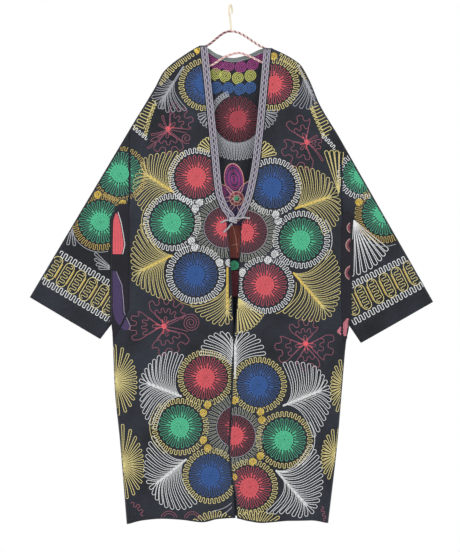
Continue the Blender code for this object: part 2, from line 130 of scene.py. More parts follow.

# %% [markdown]
# ## Embroidery floss, silk cord and wool yarn
# A chain stitch is a row of small loops, each pulled into the next, so along a line of stitches
# the thread swells and pinches every few millimetres. The stitch lines below carry their own
# length as a UV coordinate, and a wave along it paints a highlight on top of each loop and paints
# shade into the pinch between two loops. Stranded cotton has a low gloss along its fibres; wool is
# duller, with a nap of loose ends.

# %% Thread and yarn

STITCH = 4.0    # millimetres of one chain stitch; real ones are nearer 2.5, too fine to show here


def floss(name, light, dark, roughness=0.5, sheen=0.08):
    """Stranded thread: a painted highlight on top of each stitch, painted shade where two of them meet."""
    finish, tree, shader = new_material(name)
    coords = add(tree, "ShaderNodeTexCoord")
    # The wave along the UV, one band a stitch, sets where the painted highlight and the painted shade fall.
    loops = add(tree, "ShaderNodeTexWave", {"bands_direction": "X"}, Vector=coords.outputs["UV"],
                Scale=band_scale(1.0), Distortion=0.4)
    fibre = add(tree, "ShaderNodeTexNoise", Vector=coords.outputs["Object"], Scale=420.0, Detail=2.0)
    mixed = add(tree, "ShaderNodeMath", {"operation": "MULTIPLY_ADD"},
                at=[fibre.outputs["Fac"], 0.5, loops.outputs["Fac"]])
    share = add(tree, "ShaderNodeMapRange", at=[mixed.outputs[0], 0.0, 1.1, 0.0, 1.0])
    colour_and_painted_light = add(tree, "ShaderNodeMixRGB", Fac=share.outputs[0], Color1=linear(dark), Color2=linear(light))
    bump = add(tree, "ShaderNodeBump", Strength=0.4, Distance=0.3 * MM, Height=mixed.outputs[0])
    tree.links.new(colour_and_painted_light.outputs[0], shader.inputs["Base Color"])
    tree.links.new(bump.outputs[0], shader.inputs["Normal"])
    shader.inputs["Roughness"].default_value = roughness
    shader.inputs["Sheen Weight"].default_value = sheen
    return finish


# Each shade's light tone is the thread's colour with a painted highlight, for the top of a stitch; its dark
# tone is painted shade, for where two stitches meet.
THREADS = {     # name: (light, dark)
    "red": ("#f4626b", "#b4404e"), "cherry": ("#c54a59", "#752a3b"), "leaf": ("#45b287", "#236a50"),
    "royal": ("#2b5b9f", "#1a3b70"), "wine": ("#8e3040", "#4c1826"), "maroon": ("#451a2a", "#2b1320"),
    "rose": ("#8f4c5f", "#5a2c3e"),
    "green": ("#5ad8a4", "#2f9670"), "deep_green": ("#12443a", "#0e2c27"),
    "blue": ("#2560ab", "#193f7a"), "navy": ("#142d55", "#101e3a"),
    "yellow": ("#e6d892", "#8a7b3e"), "gold": ("#efcf57", "#a58423"), "ivory": ("#f0f1f0", "#93959a"),
    "silver": ("#b3b5bb", "#5e616a"), "stone": ("#a3a597", "#54574f"),
    "magenta": ("#a03684", "#5c1c4e"), "lime": ("#c3c667", "#757833"), "slate": ("#3563a2", "#203d6c"),
    "purple": ("#452d66", "#2a1c43"), "lilac": ("#a89bb4", "#6f6478"), "brick": ("#a14a3c", "#5d2b2a"),
    "ochre": ("#c9ae5e", "#77642f"), "blush": ("#cda49c", "#835e5a"),
    "pink": ("#d67d8c", "#9f505f"), "peach": ("#efb49c", "#b07668"), "ink": ("#2c2a35", "#1c1b22"),
}
flosses = {name: floss("floss_" + name, *tones) for name, tones in THREADS.items()}
braid_silk = floss("lavender_silk_braid", "#dad6df", "#837d8a", roughness=0.45, sheen=0.1)
braid_ground = woven("lavender_grey_strip", "#3a3643", "#4e4957")
# The cord, the yarn and the hook's wrapping carry UVs along their length too, so they get the same painted
# highlight and painted shade every stitch length.
silver_cord = floss("silver_grey_cord", "#b9b9be", "#5c5c66", roughness=0.45)
wool = {name: floss("wool_" + name, light, dark, roughness=0.85, sheen=0.5)
        for name, light, dark in [("pink", "#dba9aa", "#9c6468"), ("brown", "#7a4a48", "#4a2b2c"),
                                  ("cream", "#f3e6dc", "#b9a597")]}
cream_wrap = floss("cream_cotton_wrapping", "#f0e6cf", "#c4b391", roughness=0.8, sheen=0.3)
print(len(flosses), "shades of floss")

# %% [markdown]
# ## The cut of the robe
# Seen from the front the robe is a flat outline, and its walls stand one or two centimetres off
# the middle plane. So the cloth is a height field: every panel is a grid of points in the plane
# of the robe, and one function gives its depth. The tables are in millimetres from the inside
# of the hook, x to the viewer's right and z up.

# %% Outline and folds

SIDES = {"left": -1, "right": 1}        # each side as the viewer sees it, and the sign of x there
WALL = 1.5                      # cloth, thread and backing together
SEAM_GAP, CURVED_SEAM_GAP = 0.3, 0.5
FOLD_RADIUS = 9.0               # how far from a fold the cloth reaches its full depth
TOP_LINE = {    # fold over shoulder and sleeve: distance from the centre, height
    "left": [(60, -98), (72, -101), (123, -130), (173, -171), (196, -213), (259, -317), (521, -757)],
    "right": [(76, -100), (92, -105), (178, -150), (204, -192), (230, -254), (280, -338), (526, -769)],
}
SIDE_LINE = {   # fold down each side: height, distance from the centre
    "left": [(-512, 287), (-562, 308), (-816, 308), (-881, 305), (-998, 300), (-1128, 287), (-1347, 269)],
    "right": [(-512, 304), (-562, 313), (-811, 309), (-881, 299), (-998, 289), (-1128, 278), (-1347, 253)],
}
FRONT_EDGE = {  # free edge of each front: height, x
    "left": [(-98, -79), (-393, -49), (-486, -39), (-530, -23), (-552, -9), (-608, -5), (-666, 1),
             (-764, 5), (-868, 9), (-1206, 8), (-1347, 14)],
    "right": [(-100, 106), (-393, 77), (-476, 62), (-517, 50), (-545, 37), (-562, 28), (-666, 22),
              (-764, 18), (-855, 9), (-1058, 1), (-1154, -3), (-1214, 3), (-1277, 13), (-1347, 18)],
}
# Along the hem and the back of the neck: x, height.
HEM_LINE = [(-269, -1346), (-225, -1335), (-175, -1330), (-129, -1332), (-71, -1339), (-33, -1331),
            (12, -1328), (43, -1335), (81, -1341), (157, -1335), (207, -1335), (253, -1343)]
BACK_NECK_LINE = [(-77.5, -103), (-62, -107), (-34, -124), (5, -134), (45, -126), (87, -110), (104.5, -110.6)]
# How far the walls stand off the middle plane, beside the side folds and in the middle: height, depth.
SIDE_DEPTH = [(-98, 8), (-320, 7), (-480, 7), (-530, 12.6), (-830, 12.6), (-900, 11), (-1347, 12)]
MIDDLE_DEPTH = [(-98, 8), (-200, 10), (-350, 15), (-560, 18), (-900, 17), (-1347, 21)]
DEPTH_RISE = 110.0              # from a side fold to the full depth of the middle
FOLD_CLEAR = 30.0               # creases fade over this distance from a side fold
OVERLAP_LIFT = [(-780, 0), (-850, 3.2), (-1347, 3.2)]   # height, and how far the right front lifts
OVERLAP_REACH = 70.0            # how wide a strip of it lifts
ARMHOLE = {"left": 262.0, "right": 288.0}       # distance of each armhole seam from the centre
ARMHOLE_FOOT, ARMHOLE_TURN = -480.0, 60.0       # where it ends, and how soon the side fold takes over
GUSSET = {      # height, seam's inset, crease's inset, how far the tuck is open
    "left": [(-516, 27, 45, 0), (-562, 46, 65, 0), (-775, 46, 65, 0), (-832, 24, 13, 0),
             (-850, 13, 8, 0.5), (-868, 5, 3, 0.9), (-884, 0.6, 0.3, 1)],
    "right": [(-540, 20, 40, 0), (-584, 25, 48, 0), (-790, 22, 46, 0), (-846, 16, 11, 0),
              (-863, 10, 7, 0.5), (-880, 5, 3, 0.9), (-896, 0.6, 0.3, 1)],
}
INNER_LEAF_DEPTH = 9.4          # depth of the gusset's inner leaf, under the front or back
SLEEVE_DEPTH = [(262, 7), (330, 7), (430, 10), (526, 10)]           # distance from the centre, depth
SLEEVE_WIDTH = {"left": (228.0, 212.0), "right": (222.0, 215.0)}    # flat, at the armhole and the cuff


def smooth(table, place, column=1):
    """Value at a place on a smooth line through a table's rows, with no overshoot."""
    rows = np.array(sorted(table), float)
    knots, values = rows[:, 0], rows[:, column]
    span = np.diff(knots)
    grade = np.diff(values) / span
    slopes = np.zeros(len(knots))
    inner = grade[:-1] * grade[1:] > 0
    harmonic = 2 * grade[:-1] * grade[1:] / np.where(inner, grade[:-1] + grade[1:], 1.0)
    slopes[1:-1] = np.where(inner, harmonic, 0.0)
    slopes[0], slopes[-1] = grade[0], grade[-1]
    place = np.clip(np.asarray(place, float), knots[0], knots[-1])
    cell = np.clip(np.searchsorted(knots, place) - 1, 0, len(span) - 1)
    t = (place - knots[cell]) / span[cell]
    start, end = values[cell], values[cell + 1]
    rise_in, rise_out = slopes[cell] * span[cell], slopes[cell + 1] * span[cell]
    return (start * (1 + 2 * t) * (1 - t) ** 2 + end * t * t * (3 - 2 * t)
            + rise_in * t * (1 - t) ** 2 - rise_out * t * t * (1 - t))


def ease(value):
    t = np.clip(value, 0, 1)
    return t * t * (3 - 2 * t)


def mix(a, b, t):
    return a + (b - a) * t


def rounded(distance):
    """Share of the full depth at a distance from a fold: a quarter ellipse."""
    q = np.clip(np.asarray(distance, float) / FOLD_RADIUS, 0, 1)
    return np.sqrt(1 - (1 - q) ** 2)


def top_height(x):
    out = np.abs(x)
    return np.where(np.asarray(x) < 0, smooth(TOP_LINE["left"], out), smooth(TOP_LINE["right"], out))


def below_top(x, z):
    grade = (top_height(x + 1) - top_height(x - 1)) / 2
    return (top_height(x) - z) / np.sqrt(1 + grade ** 2)


def hem_height(x):
    return smooth(HEM_LINE, x)


def body_reach(x, z):
    """Where the body ends sideways: the armhole seam above, the side fold below."""
    turn = ease((ARMHOLE_FOOT - z) / ARMHOLE_TURN)
    reach = {side: mix(ARMHOLE[side], smooth(SIDE_LINE[side], z), turn) for side in SIDES}
    return np.where(x < 0, reach["left"], reach["right"])


print("shoulder to hem", round(float(top_height(-79) - hem_height(-79))), "mm")

# %% [markdown]
# ## Soft creases
# Cloth that hangs from a narrow hanger drops in soft upright folds and pulls in slanting creases
# from the hanger's tips and under the arms. A cloth simulation would lose the flat outline, so
# each crease is placed one by one as a gentle ridge or valley along a line that wanders a little.
# The wall keeps its thickness, because both of its faces take the same height.

# %% Creases one by one

# Each upright fold: x, half width, height, where it starts and where it ends.
FRONT_FOLDS = [(-95, 34, 2.5, -240, -440), (118, 34, 2.5, -230, -450), (-226, 26, 2.0, -380, -600),
               (240, 26, 2.0, -400, -640), (-232, 30, -2.4, -900, -1400), (-118, 38, 2.6, -980, -1400),
               (-45, 26, -2.2, -1150, -1400), (92, 30, -2.2, -1000, -1400), (176, 36, 2.6, -930, -1400)]
BACK_FOLDS = [(-180, 40, 2.4, -300, -700), (60, 50, 2.2, -420, -900), (190, 36, 2.4, -330, -760),
              (-210, 34, -2.4, -950, -1400), (-100, 40, 2.8, -900, -1400), (20, 36, -2.4, -1050, -1400),
              (130, 40, 2.8, -960, -1400)]
FOLD_FADE = 70.0                # how soon a fold starts and ends
# Each crease: start x and z, end x and z, half width, height.
FRONT_CREASES = [
    (-176, -190, -236, -430, 9, 1.3), (-150, -200, -176, -520, 11, 1.1),
    (-128, -250, -112, -470, 12, 1.4), (-232, -300, -244, -560, 8, -1.0), (184, -170, 262, -470, 9, 1.3),
    (160, -190, 204, -500, 11, 1.1), (140, -250, 128, -500, 12, 1.4), (256, -330, 272, -560, 8, -1.0),
    (-258, -860, -170, -1010, 12, 1.2), (-276, -960, -236, -1320, 10, 1.5),
    (-196, -930, -178, -1300, 13, -1.2), (-70, -760, -88, -1100, 12, 1.0),
    (-20, -780, -34, -1300, 9, 1.2), (252, -880, 176, -1020, 12, 1.2), (262, -960, 232, -1320, 10, 1.5),
    (206, -920, 204, -1300, 13, -1.2), (120, -790, 134, -1120, 12, 1.0), (48, -820, 60, -1300, 10, 1.1),
    (-252, -600, -210, -800, 10, 0.8), (268, -620, 232, -820, 10, 0.8),
]
BACK_CREASES = [
    (-170, -190, -226, -470, 10, 1.4), (-110, -210, -128, -560, 12, 1.2), (-30, -190, -60, -620, 12, 1.0),
    (52, -190, 84, -640, 12, 1.1), (128, -200, 150, -540, 12, 1.2), (178, -180, 250, -480, 10, 1.4),
    (-262, -880, -190, -1040, 12, 1.3), (-272, -960, -244, -1310, 10, 1.5),
    (-150, -760, -162, -1300, 13, 1.1), (-50, -700, -60, -1280, 12, -1.1), (66, -760, 76, -1290, 12, 1.1),
    (178, -780, 188, -1300, 13, -1.1), (256, -890, 190, -1050, 12, 1.3), (258, -960, 236, -1310, 10, 1.5),
]


def fold_height(folds, x, z):
    total = 0.0
    for centre, half_width, height, start, end in folds:
        window = ease((start - z) / FOLD_FADE) * ease((z - end) / FOLD_FADE)
        total = total + height * np.exp(-((x - centre) / half_width) ** 2) * window
    return total


def crease_height(rows, x, z):
    total = 0.0
    for x0, z0, x1, z1, half, height in rows:
        length = math.hypot(x1 - x0, z1 - z0)
        along = ((x - x0) * (x1 - x0) + (z - z0) * (z1 - z0)) / length ** 2
        off = ((x - x0) * (z1 - z0) - (z - z0) * (x1 - x0)) / length + 3 * np.sin(5 * along + x0)
        total = total + height * np.exp(-(off / half) ** 2) * ease(along / 0.35) * ease((1 - along) / 0.35)
    return total


def body_depth(x, z, folds, creases=()):
    """Depth of the front or back wall from the middle plane."""
    x, z = np.asarray(x, float), np.asarray(z, float)
    inwards = body_reach(x, z) - np.abs(x)
    depth = mix(smooth(SIDE_DEPTH, z), smooth(MIDDLE_DEPTH, z), ease(inwards / DEPTH_RISE))
    depth = depth + (fold_height(folds, x, z) + crease_height(creases, x, z)) * ease(inwards / FOLD_CLEAR)
    opening = np.where(x < 0, smooth(GUSSET["left"], z, 3), smooth(GUSSET["right"], z, 3))
    return depth * rounded(below_top(x, z)) * mix(1.0, rounded(inwards), opening)


def overlap_lift(x, z):
    """The right front lies over the left one near its free edge."""
    return smooth(OVERLAP_LIFT, z) * ease(1 - (x - smooth(FRONT_EDGE["right"], z)) / OVERLAP_REACH)


def front_depth(side, x, z):
    depth = body_depth(x, z, FRONT_FOLDS, FRONT_CREASES)
    return np.maximum(depth + (overlap_lift(x, z) if side == "right" else 0), SEAM_GAP / 2)


def back_depth(x, z):
    return np.maximum(body_depth(x, z, BACK_FOLDS, BACK_CREASES), SEAM_GAP / 2)


def seam_out(side, z):
    """Outer seam of the front and the back, from the centre."""
    inset = smooth([row[:2] for row in GUSSET[side]], z)
    fold = smooth(SIDE_LINE[side], z)
    above, below = z > GUSSET[side][0][0] + 1, z < GUSSET[side][-1][0] - 1
    sewn = fold - inset - CURVED_SEAM_GAP / 2
    return np.where(above, ARMHOLE[side] - CURVED_SEAM_GAP / 2, np.where(below, fold, sewn))


print(len(FRONT_CREASES) + len(BACK_CREASES), "creases")

# %% [markdown]
# ## Walls of cloth
# A panel is a grid of points, joined into faces and given its wall by a Solidify modifier. The
# points lie closer together beside a fold, where the cloth turns in a few millimetres.

# %% Grids into cloth

EDGE_STEPS, GRID_PITCH = (0, 0.1, 0.8, 1.8, 3.2, 5, 7.2, 9.5), 7.5    # across: from a fold, then evenly
ROW_STEPS, ROW_PITCH = (0, 0.15, 1.5, 3.5, 6, 9, 12.5, 17), 9.0       # the same down from the shoulder
ROBE_LENGTH, FRONT_WIDTH = 1240, 290


def finish_piece(piece, replaces=()):
    bpy.context.scene.collection.objects.link(piece)
    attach(piece, "root")
    if replaces:
        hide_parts(*replaces)
    return piece


def mesh_object(name, points, faces, finish, uvs=None):
    """A smooth mesh from millimetre points; uvs has one pair for each point."""
    mesh = bpy.data.meshes.new(name)
    mesh.from_pydata((np.asarray(points) * MM).tolist(), [], faces.tolist())
    mesh.shade_smooth()
    mesh.materials.append(finish)
    if uvs is not None:
        layer = mesh.uv_layers.new(name="UVMap")
        layer.data.foreach_set("uv", np.asarray(uvs, np.float32)[faces.ravel()].ravel())
    return bpy.data.objects.new(name, mesh)


def grid_faces(rows, columns, closed=False):
    i, j = np.meshgrid(np.arange(rows - 1), np.arange(columns - (0 if closed else 1)), indexing="ij")
    k = (j + 1) % columns
    faces = np.stack([i * columns + j, i * columns + k, (i + 1) * columns + k, (i + 1) * columns + j], -1)
    return faces.reshape(-1, 4)


def cloth_grid(name, points, finish, node, wall=WALL, closed=False):
    """A wall of cloth on a grid of points, in place of its CAD node."""
    rows, columns = points.shape[:2]
    piece = mesh_object(name, points.reshape(-1, 3), grid_faces(rows, columns, closed), finish)
    shell = piece.modifiers.new("wall", "SOLIDIFY")
    shell.thickness = wall * MM
    shell.offset = 0
    shell.use_even_offset = True
    finish_piece(piece, [node])
    return piece


def spread(steps, width, pitch, both=True):
    """Places from 0 to 1: steps beside a fold, then evenly at a pitch."""
    near = np.array(steps) / width
    far = 1 - near[::-1] if both else np.array([1.0])
    count = max(int((far[0] - near[-1]) * width / pitch), 2)
    return np.concatenate([near, np.linspace(near[-1], far[0], count + 1)[1:-1], far])


def panel_points(across, down, left_edge, right_edge, top, hem, depth_at):
    """Grid between two upright edges, a top line and a hem, with its depth as y."""
    first = mix(-ARMHOLE["left"], ARMHOLE["right"], across)
    for _ in range(12):     # settles where both edges meet the top line
        first = mix(left_edge(top(first)), right_edge(top(first)), across)
    last = mix(left_edge(hem(first)), right_edge(hem(first)), across)
    z = mix(top(first)[None, :], hem(last)[None, :], down[:, None])
    x = mix(left_edge(z), right_edge(z), across[None, :])
    return np.stack([x, depth_at(x, z), z], axis=-1)


down = spread(ROW_STEPS, ROBE_LENGTH, ROW_PITCH, both=False)
for side, sign in SIDES.items():

    def outer(z):
        return sign * seam_out(side, z)

    def inner(z):
        return smooth(FRONT_EDGE[side], z)

    across = spread(EDGE_STEPS, FRONT_WIDTH, GRID_PITCH, both=False)
    edges = (outer, inner)
    if side == "right":
        across, edges = 1 - across[::-1], (inner, outer)
    points = panel_points(across, down, *edges, top_height, hem_height,
                          lambda x, z: -front_depth(side, x, z))
    cloth_grid("front_" + side + "_cloth", points, charcoal_sateen, "front_" + side)
    print("front", side, points.shape[:2])

# %% [markdown]
# The back is one piece from side to side with its neck scooped out. Its top edge follows the neck
# binding between the two neck points and the shoulder fold outside them.

# %% The back

BACK_BAND_WIDTH, BACK_BAND_TIP, BACK_BAND_TAPER = 10.0, 1.5, 22.0      # its width narrows to its tip
NECK_JOIN, NECK_RISE = 1.0, 0.6         # the neck's cut starts this far outside, and steps up over this
NECK_COLUMNS = 27


def back_band_width(x):
    """The binding narrows to a point at the shoulders."""
    ends = np.minimum(x - BACK_NECK_LINE[0][0], BACK_NECK_LINE[-1][0] - x)
    return mix(BACK_BAND_TIP, BACK_BAND_WIDTH, ease(ends / BACK_BAND_TAPER))


def back_top(x):
    neck = smooth(BACK_NECK_LINE, x) - back_band_width(x) - 2 * SEAM_GAP
    reach = NECK_JOIN + NECK_RISE / 2
    inside = (x > BACK_NECK_LINE[0][0] - reach) & (x < BACK_NECK_LINE[-1][0] + reach)
    return np.where(inside, np.minimum(neck, top_height(x)), top_height(x))


neck_left, neck_right = BACK_NECK_LINE[0][0] - NECK_JOIN, BACK_NECK_LINE[-1][0] + NECK_JOIN
steps = np.array(EDGE_STEPS)
places = np.concatenate([
    steps - ARMHOLE["left"], np.arange(-ARMHOLE["left"] + 16, neck_left - 3, GRID_PITCH),
    [neck_left - NECK_RISE], np.linspace(neck_left, neck_right, NECK_COLUMNS), [neck_right + NECK_RISE],
    np.arange(neck_right + 7, ARMHOLE["right"] - 14, GRID_PITCH), ARMHOLE["right"] - steps[::-1]])
across = (places - places[0]) / (places[-1] - places[0])
points = panel_points(across, down, lambda z: -seam_out("left", z), lambda z: seam_out("right", z),
                      back_top, hem_height, back_depth)
cloth_grid("back_cloth", points[:, ::-1], charcoal_sateen, "back")
print("back", points.shape[:2])

# %% [markdown]
# Each sleeve is one piece folded along its top and sewn along its bottom: a flat tube, open at the
# armhole and at the cuff. Each gusset is a strip of plum cotton tucked in like a bellows between
# front and back, with the sleeve's lower part lying in its tuck.

# %% Sleeves and gussets

SLEEVE_CREASES = [  # distance from the centre and height of each end, half width, height
    (300, -420, 380, -640, 9, 1.0), (330, -400, 460, -680, 8, -0.8), (320, -560, 410, -790, 9, 0.9),
    (400, -600, 470, -740, 8, 0.8)]
SLEEVE_FREE = 318.0     # distance from the centre where the gusset lets go of the sleeve
SLEEVE_ROWS, GUSSET_ROWS = 52, 64
LEAF_STEPS = np.array([1.0, 0.8, 0.55, 0.3, 0.12, 0.04])        # from the seam to the side fold
TUCK_STEPS = np.array([0.04, 0.12, 0.5, 0.88, 0.98])            # from the fold in to the crease
TUCK_DEPTHS = INNER_LEAF_DEPTH * np.array([1, 1, 1, 0.9, 0.45])


def sleeve_frame(side):
    """Start of the sleeve's fold, its length, and the directions along and across the sleeve."""
    start, cuff = (np.array(row, float) for row in TOP_LINE[side][-2:])
    length = np.linalg.norm(cuff - start)
    along = (cuff - start) / length
    return start, length, along, np.array([along[1], -along[0]])


def sleeve_place(side, x, z):
    """How far along and across the sleeve a point lies, and how wide the sleeve is there."""
    start, length, along, across = sleeve_frame(side)
    out, up = np.abs(x) - start[0], z - start[1]
    s, w = out * along[0] + up * along[1], out * across[0] + up * across[1]
    near, far = SLEEVE_WIDTH[side]
    return s, w, mix(near, far, s / length)


def sleeve_wall(side, x, z, w, width):
    """Depth of the sleeve's walls, soft creases included, less where the gusset holds it."""
    free = ease((np.abs(x) - SLEEVE_FREE) / 30) * ease(w / 25) * ease((width - w) / 25)
    depth = smooth(SLEEVE_DEPTH, np.abs(x)) + crease_height(SLEEVE_CREASES, np.abs(x), z) * free
    return depth * rounded(w) * rounded(width - w)


def sleeve_points(side):
    """Rings of points along the sleeve, from the armhole's seam to the cuff."""
    start, length, along, across = sleeve_frame(side)
    near, far = SLEEVE_WIDTH[side]
    half = spread(EDGE_STEPS, far, GRID_PITCH)
    ring = np.concatenate([half, half[-2:0:-1]])
    face = np.concatenate([-np.ones(len(half)), np.ones(len(half) - 2)])
    rows = []
    for v in np.linspace(0, 1, SLEEVE_ROWS):
        width = mix(near, far, v)
        w = ring * width
        first = (ARMHOLE[side] + CURVED_SEAM_GAP / 2 - start[0] - w * across[0]) / along[0]
        s = mix(first, length, v)
        out, z = start[0] + s * along[0] + w * across[0], start[1] + s * along[1] + w * across[1]
        rows.append(np.stack([SIDES[side] * out, face * sleeve_wall(side, out, z, w, width), z], -1))
    return np.array(rows)


def gusset_points(side):
    """Rows across the gusset: front leaf, side fold, tuck and crease, and the same behind."""
    rows = []
    for z in np.linspace(GUSSET[side][0][0], GUSSET[side][-1][0], GUSSET_ROWS):
        fold = float(smooth(SIDE_LINE[side], z))
        crease_inset, opening = (float(smooth(GUSSET[side], z, k)) for k in (2, 3))
        crease = fold - crease_inset
        inset = float(smooth([row[:2] for row in GUSSET[side]], z)) - CURVED_SEAM_GAP / 2
        out = fold - inset * LEAF_STEPS
        leaf = body_depth(SIDES[side] * out, z, FRONT_FOLDS)
        turn = (leaf[-1] + INNER_LEAF_DEPTH) / 2
        tucked_out = np.array([*out, fold, *mix(fold, crease, TUCK_STEPS), crease])
        tucked_depth = np.array([*leaf, turn, *TUCK_DEPTHS, 0])
        plain_out = fold - inset * np.linspace(1, 0, len(tucked_out)) ** 2
        plain_depth = body_depth(SIDES[side] * plain_out, z, FRONT_FOLDS)
        plain_depth[-1] = 0
        x, depth = mix(tucked_out, plain_out, opening) * SIDES[side], mix(tucked_depth, plain_depth, opening)
        row = [(a, -b, z) for a, b in zip(x, depth)]
        rows.append(row + [(a, -b, z) for a, b, z in reversed(row[:-1])])
    return np.array(rows)


for side, sign in SIDES.items():
    points = sleeve_points(side)[:, ::sign]
    cloth_grid(f"sleeve_{side}_cloth", points, charcoal_sateen,
               "sleeve_" + side, closed=True)
    points = gusset_points(side)[:, ::-sign]
    cloth_grid(f"gusset_{side}_cloth", points, plum_cotton, "gusset_" + side)

# %% [markdown]
# ## Thread laid on the cloth
# Every stitched line is a low ridge of thread that follows the cloth. A path in the plane of the
# robe is cut into half stitches. At each one the ridge is wide and high in the middle of a stitch
# and pinched where the next stitch starts, so a line reads as a chain. The same depth functions
# that shape the cloth carry the ridge over folds and creases, front and back.

# %% Stitched lines

THREAD_WIDTH, THREAD_RISE = 2.5, 1.0
PINCH, END_PINCH = 0.74, 0.4    # width where two stitches meet and where a line ends, as a share
SUNK = -0.15                    # how deep the thread's edges sink into the cloth, as a share of its rise
work = {}       # lines waiting to be sewn, by place on the robe and shade


def resample(path, step):
    """The path's points again, evenly spaced, with their distances along it."""
    path = np.asarray(path, float)
    lengths = np.concatenate([[0], np.cumsum(np.hypot(*np.diff(path, axis=0).T))])
    places = np.linspace(0, lengths[-1], max(int(round(lengths[-1] / step)), 2) + 1)
    return np.stack([np.interp(places, lengths, path[:, k]) for k in (0, 1)], -1), places


def across_path(points):
    """Unit vectors across a path, at each of its points."""
    along = np.gradient(points, axis=0)
    along /= np.maximum(np.linalg.norm(along, axis=1, keepdims=True), 1e-9)
    return np.stack([-along[:, 1], along[:, 0]], -1)


def thread_ground(where, x, z):
    """Depth of the cloth that carries the thread, and where it may lie: 1 to 4 mm off any edge."""
    if where == "inside":
        depth = -(back_depth(x, z) - WALL)
        return depth, (z < smooth(BACK_NECK_LINE, x) - BACK_BAND_WIDTH - 2) & (z > -900)
    depth, open_cloth = np.zeros(x.shape), np.zeros(x.shape, bool)
    edge_left, edge_right = (smooth(FRONT_EDGE[side], z) for side in SIDES)
    for side, sign in SIDES.items():
        if where.endswith(("_left", "_right")) and not where.endswith(side):
            continue
        here, out = x * sign >= 0, np.abs(x)
        seam, fold = seam_out(side, z), smooth(SIDE_LINE[side], z)
        s, w, width = sleeve_place(side, x, z)
        body = (out < seam - 1.5) & (below_top(x, z) > 3) & (z > hem_height(x) + 3)
        if where == "front_left":
            body &= (x < edge_left - 2) & (x < edge_right - 1)
            value = front_depth(side, x, z)
        elif where == "front_right":
            body &= x > edge_right + 2
            value = front_depth(side, x, z)
        else:
            body &= (x < 4) if where == "back_left" else (x > 4) if where == "back_right" else here
            body &= (z < smooth(BACK_NECK_LINE, x) - BACK_BAND_WIDTH - 3) | (out > 110)
            value = back_depth(x, z)
        open_cloth, depth = open_cloth | body, np.where(body, value, depth)
        tucked = (z < GUSSET[side][0][0]) & (z > GUSSET[side][-1][0])
        if "gusset" in where:
            open_cloth = here & tucked & (out > seam + 2) & (out < fold - 1.5)
            return body_depth(x, z, FRONT_FOLDS), open_cloth
        past_gusset = np.where(tucked, out > fold + 4, out > ARMHOLE[side] + 2)
        length = sleeve_frame(side)[1]
        sleeve = here & past_gusset & (w > 3) & (w < width - 3) & (s < length - 3)
        open_cloth = open_cloth | sleeve
        depth = np.where(sleeve, sleeve_wall(side, x, z, w, width), depth)
    return depth, open_cloth


def stitch(where, shade, path, width=THREAD_WIDTH, rise=THREAD_RISE):
    """Keeps a line for sewing, with the thread's width and rise in millimetres."""
    work.setdefault((where, shade), []).append((np.asarray(path, float), width, rise))


def sew(name, finish, where, lines):
    """One piece of thread from many lines of one shade."""
    face = 1 if where.startswith("back") else -1
    samples, sides, sizes, marks, counts = [], [], [], [], []
    for path, width, rise in lines:
        points, places = resample(path, STITCH / 2)
        lies = thread_ground(where, points[:, 0], points[:, 1])[1]
        changes = np.flatnonzero(np.diff(lies.astype(int)))
        for run in np.split(np.arange(len(points)), changes + 1):
            if len(run) < 3 or not lies[run[0]]:
                continue
            swell = np.where(np.arange(len(run)) % 2, 1.0, PINCH)
            swell[[0, -1]] = END_PINCH
            samples.append(points[run])
            sides.append(across_path(points[run]))
            sizes.append(np.stack([width * swell, rise * (0.4 + 0.6 * swell)], -1))
            marks.append((places[run] - places[run[0]]) / STITCH)
            counts.append(len(run))
    if not counts:
        return None
    points, side, size, mark = (np.concatenate(a) for a in (samples, sides, sizes, marks))
    xz = points[:, None] + side[:, None] * size[:, None, :1] * np.array([0.5, 0, -0.5])[None, :, None]
    lift = size[:, None, 1] * np.array([SUNK, 1, SUNK])
    depth, known = thread_ground(where, xz[..., 0], xz[..., 1])
    depth = np.where(known, depth, depth[:, 1:2])
    vertices = np.stack([xz[..., 0], face * (depth + WALL / 2 + lift), xz[..., 1]], -1).reshape(-1, 3)
    last = np.zeros(len(points), bool)
    last[np.cumsum(counts) - 1] = True
    k = np.flatnonzero(~last)[:, None] * 3
    faces = np.concatenate([k + [0, 1, 4, 3], k + [1, 2, 5, 4]])
    if face > 0:
        faces = faces[:, ::-1]
    uvs = np.stack([np.repeat(mark, 3), np.tile([0, 0.5, 1.0], len(mark))], -1)
    print(name, len(lines), "lines,", len(faces), "faces")
    return finish_piece(mesh_object(name, vertices, faces, finish, uvs))


print("thread", THREAD_WIDTH, "mm wide, stitches", STITCH, "mm long")

# %% [markdown]
# ## The shapes that the embroiderer repeats
# The work is free chain stitch, guided by hand under a running needle. So every motif is a line
# that seldom stops: a spiral fills a disc, narrow loops stand round it as spokes, a meander makes
# a ring, and long loops fan out from a stem as a feather. A few functions return such lines, and
# short tables say where each motif sits and in which shades.

# %% Lines for motifs

FULLNESS = 0.09     # how much rounder a meander's turns are than its waists


def polar(centre, angle, reach):
    """The point at an angle in degrees and a distance from a centre."""
    turn = math.radians(angle)
    return np.array([centre[0] + reach * math.cos(turn), centre[1] + reach * math.sin(turn)])


def arc(centre, radius, start=0.0, sweep=360.0):
    turn = np.radians(np.linspace(start, start + sweep, max(int(abs(sweep) * radius / 100), 12)))
    return np.stack([centre[0] + radius * np.cos(turn), centre[1] + radius * np.sin(turn)], -1)


def spiral(centre, inner, outer, pitch=2.6, start=0.0):
    turns = (outer - inner) / pitch
    turn = np.linspace(0, 2 * np.pi * turns, int(26 * turns) + 8)
    reach = inner + pitch * turn / (2 * np.pi)
    turn = turn + math.radians(start)
    return np.stack([centre[0] + reach * np.cos(turn), centre[1] + reach * np.sin(turn)], -1)


def bend(*points, count=26):
    """A smooth curve pulled towards each of its points in turn (Bezier)."""
    t, rows = np.linspace(0, 1, count)[:, None], [np.asarray(p, float) for p in points]
    while len(rows) > 1:
        rows = [a + (b - a) * t for a, b in zip(rows, rows[1:])]
    return rows[0]


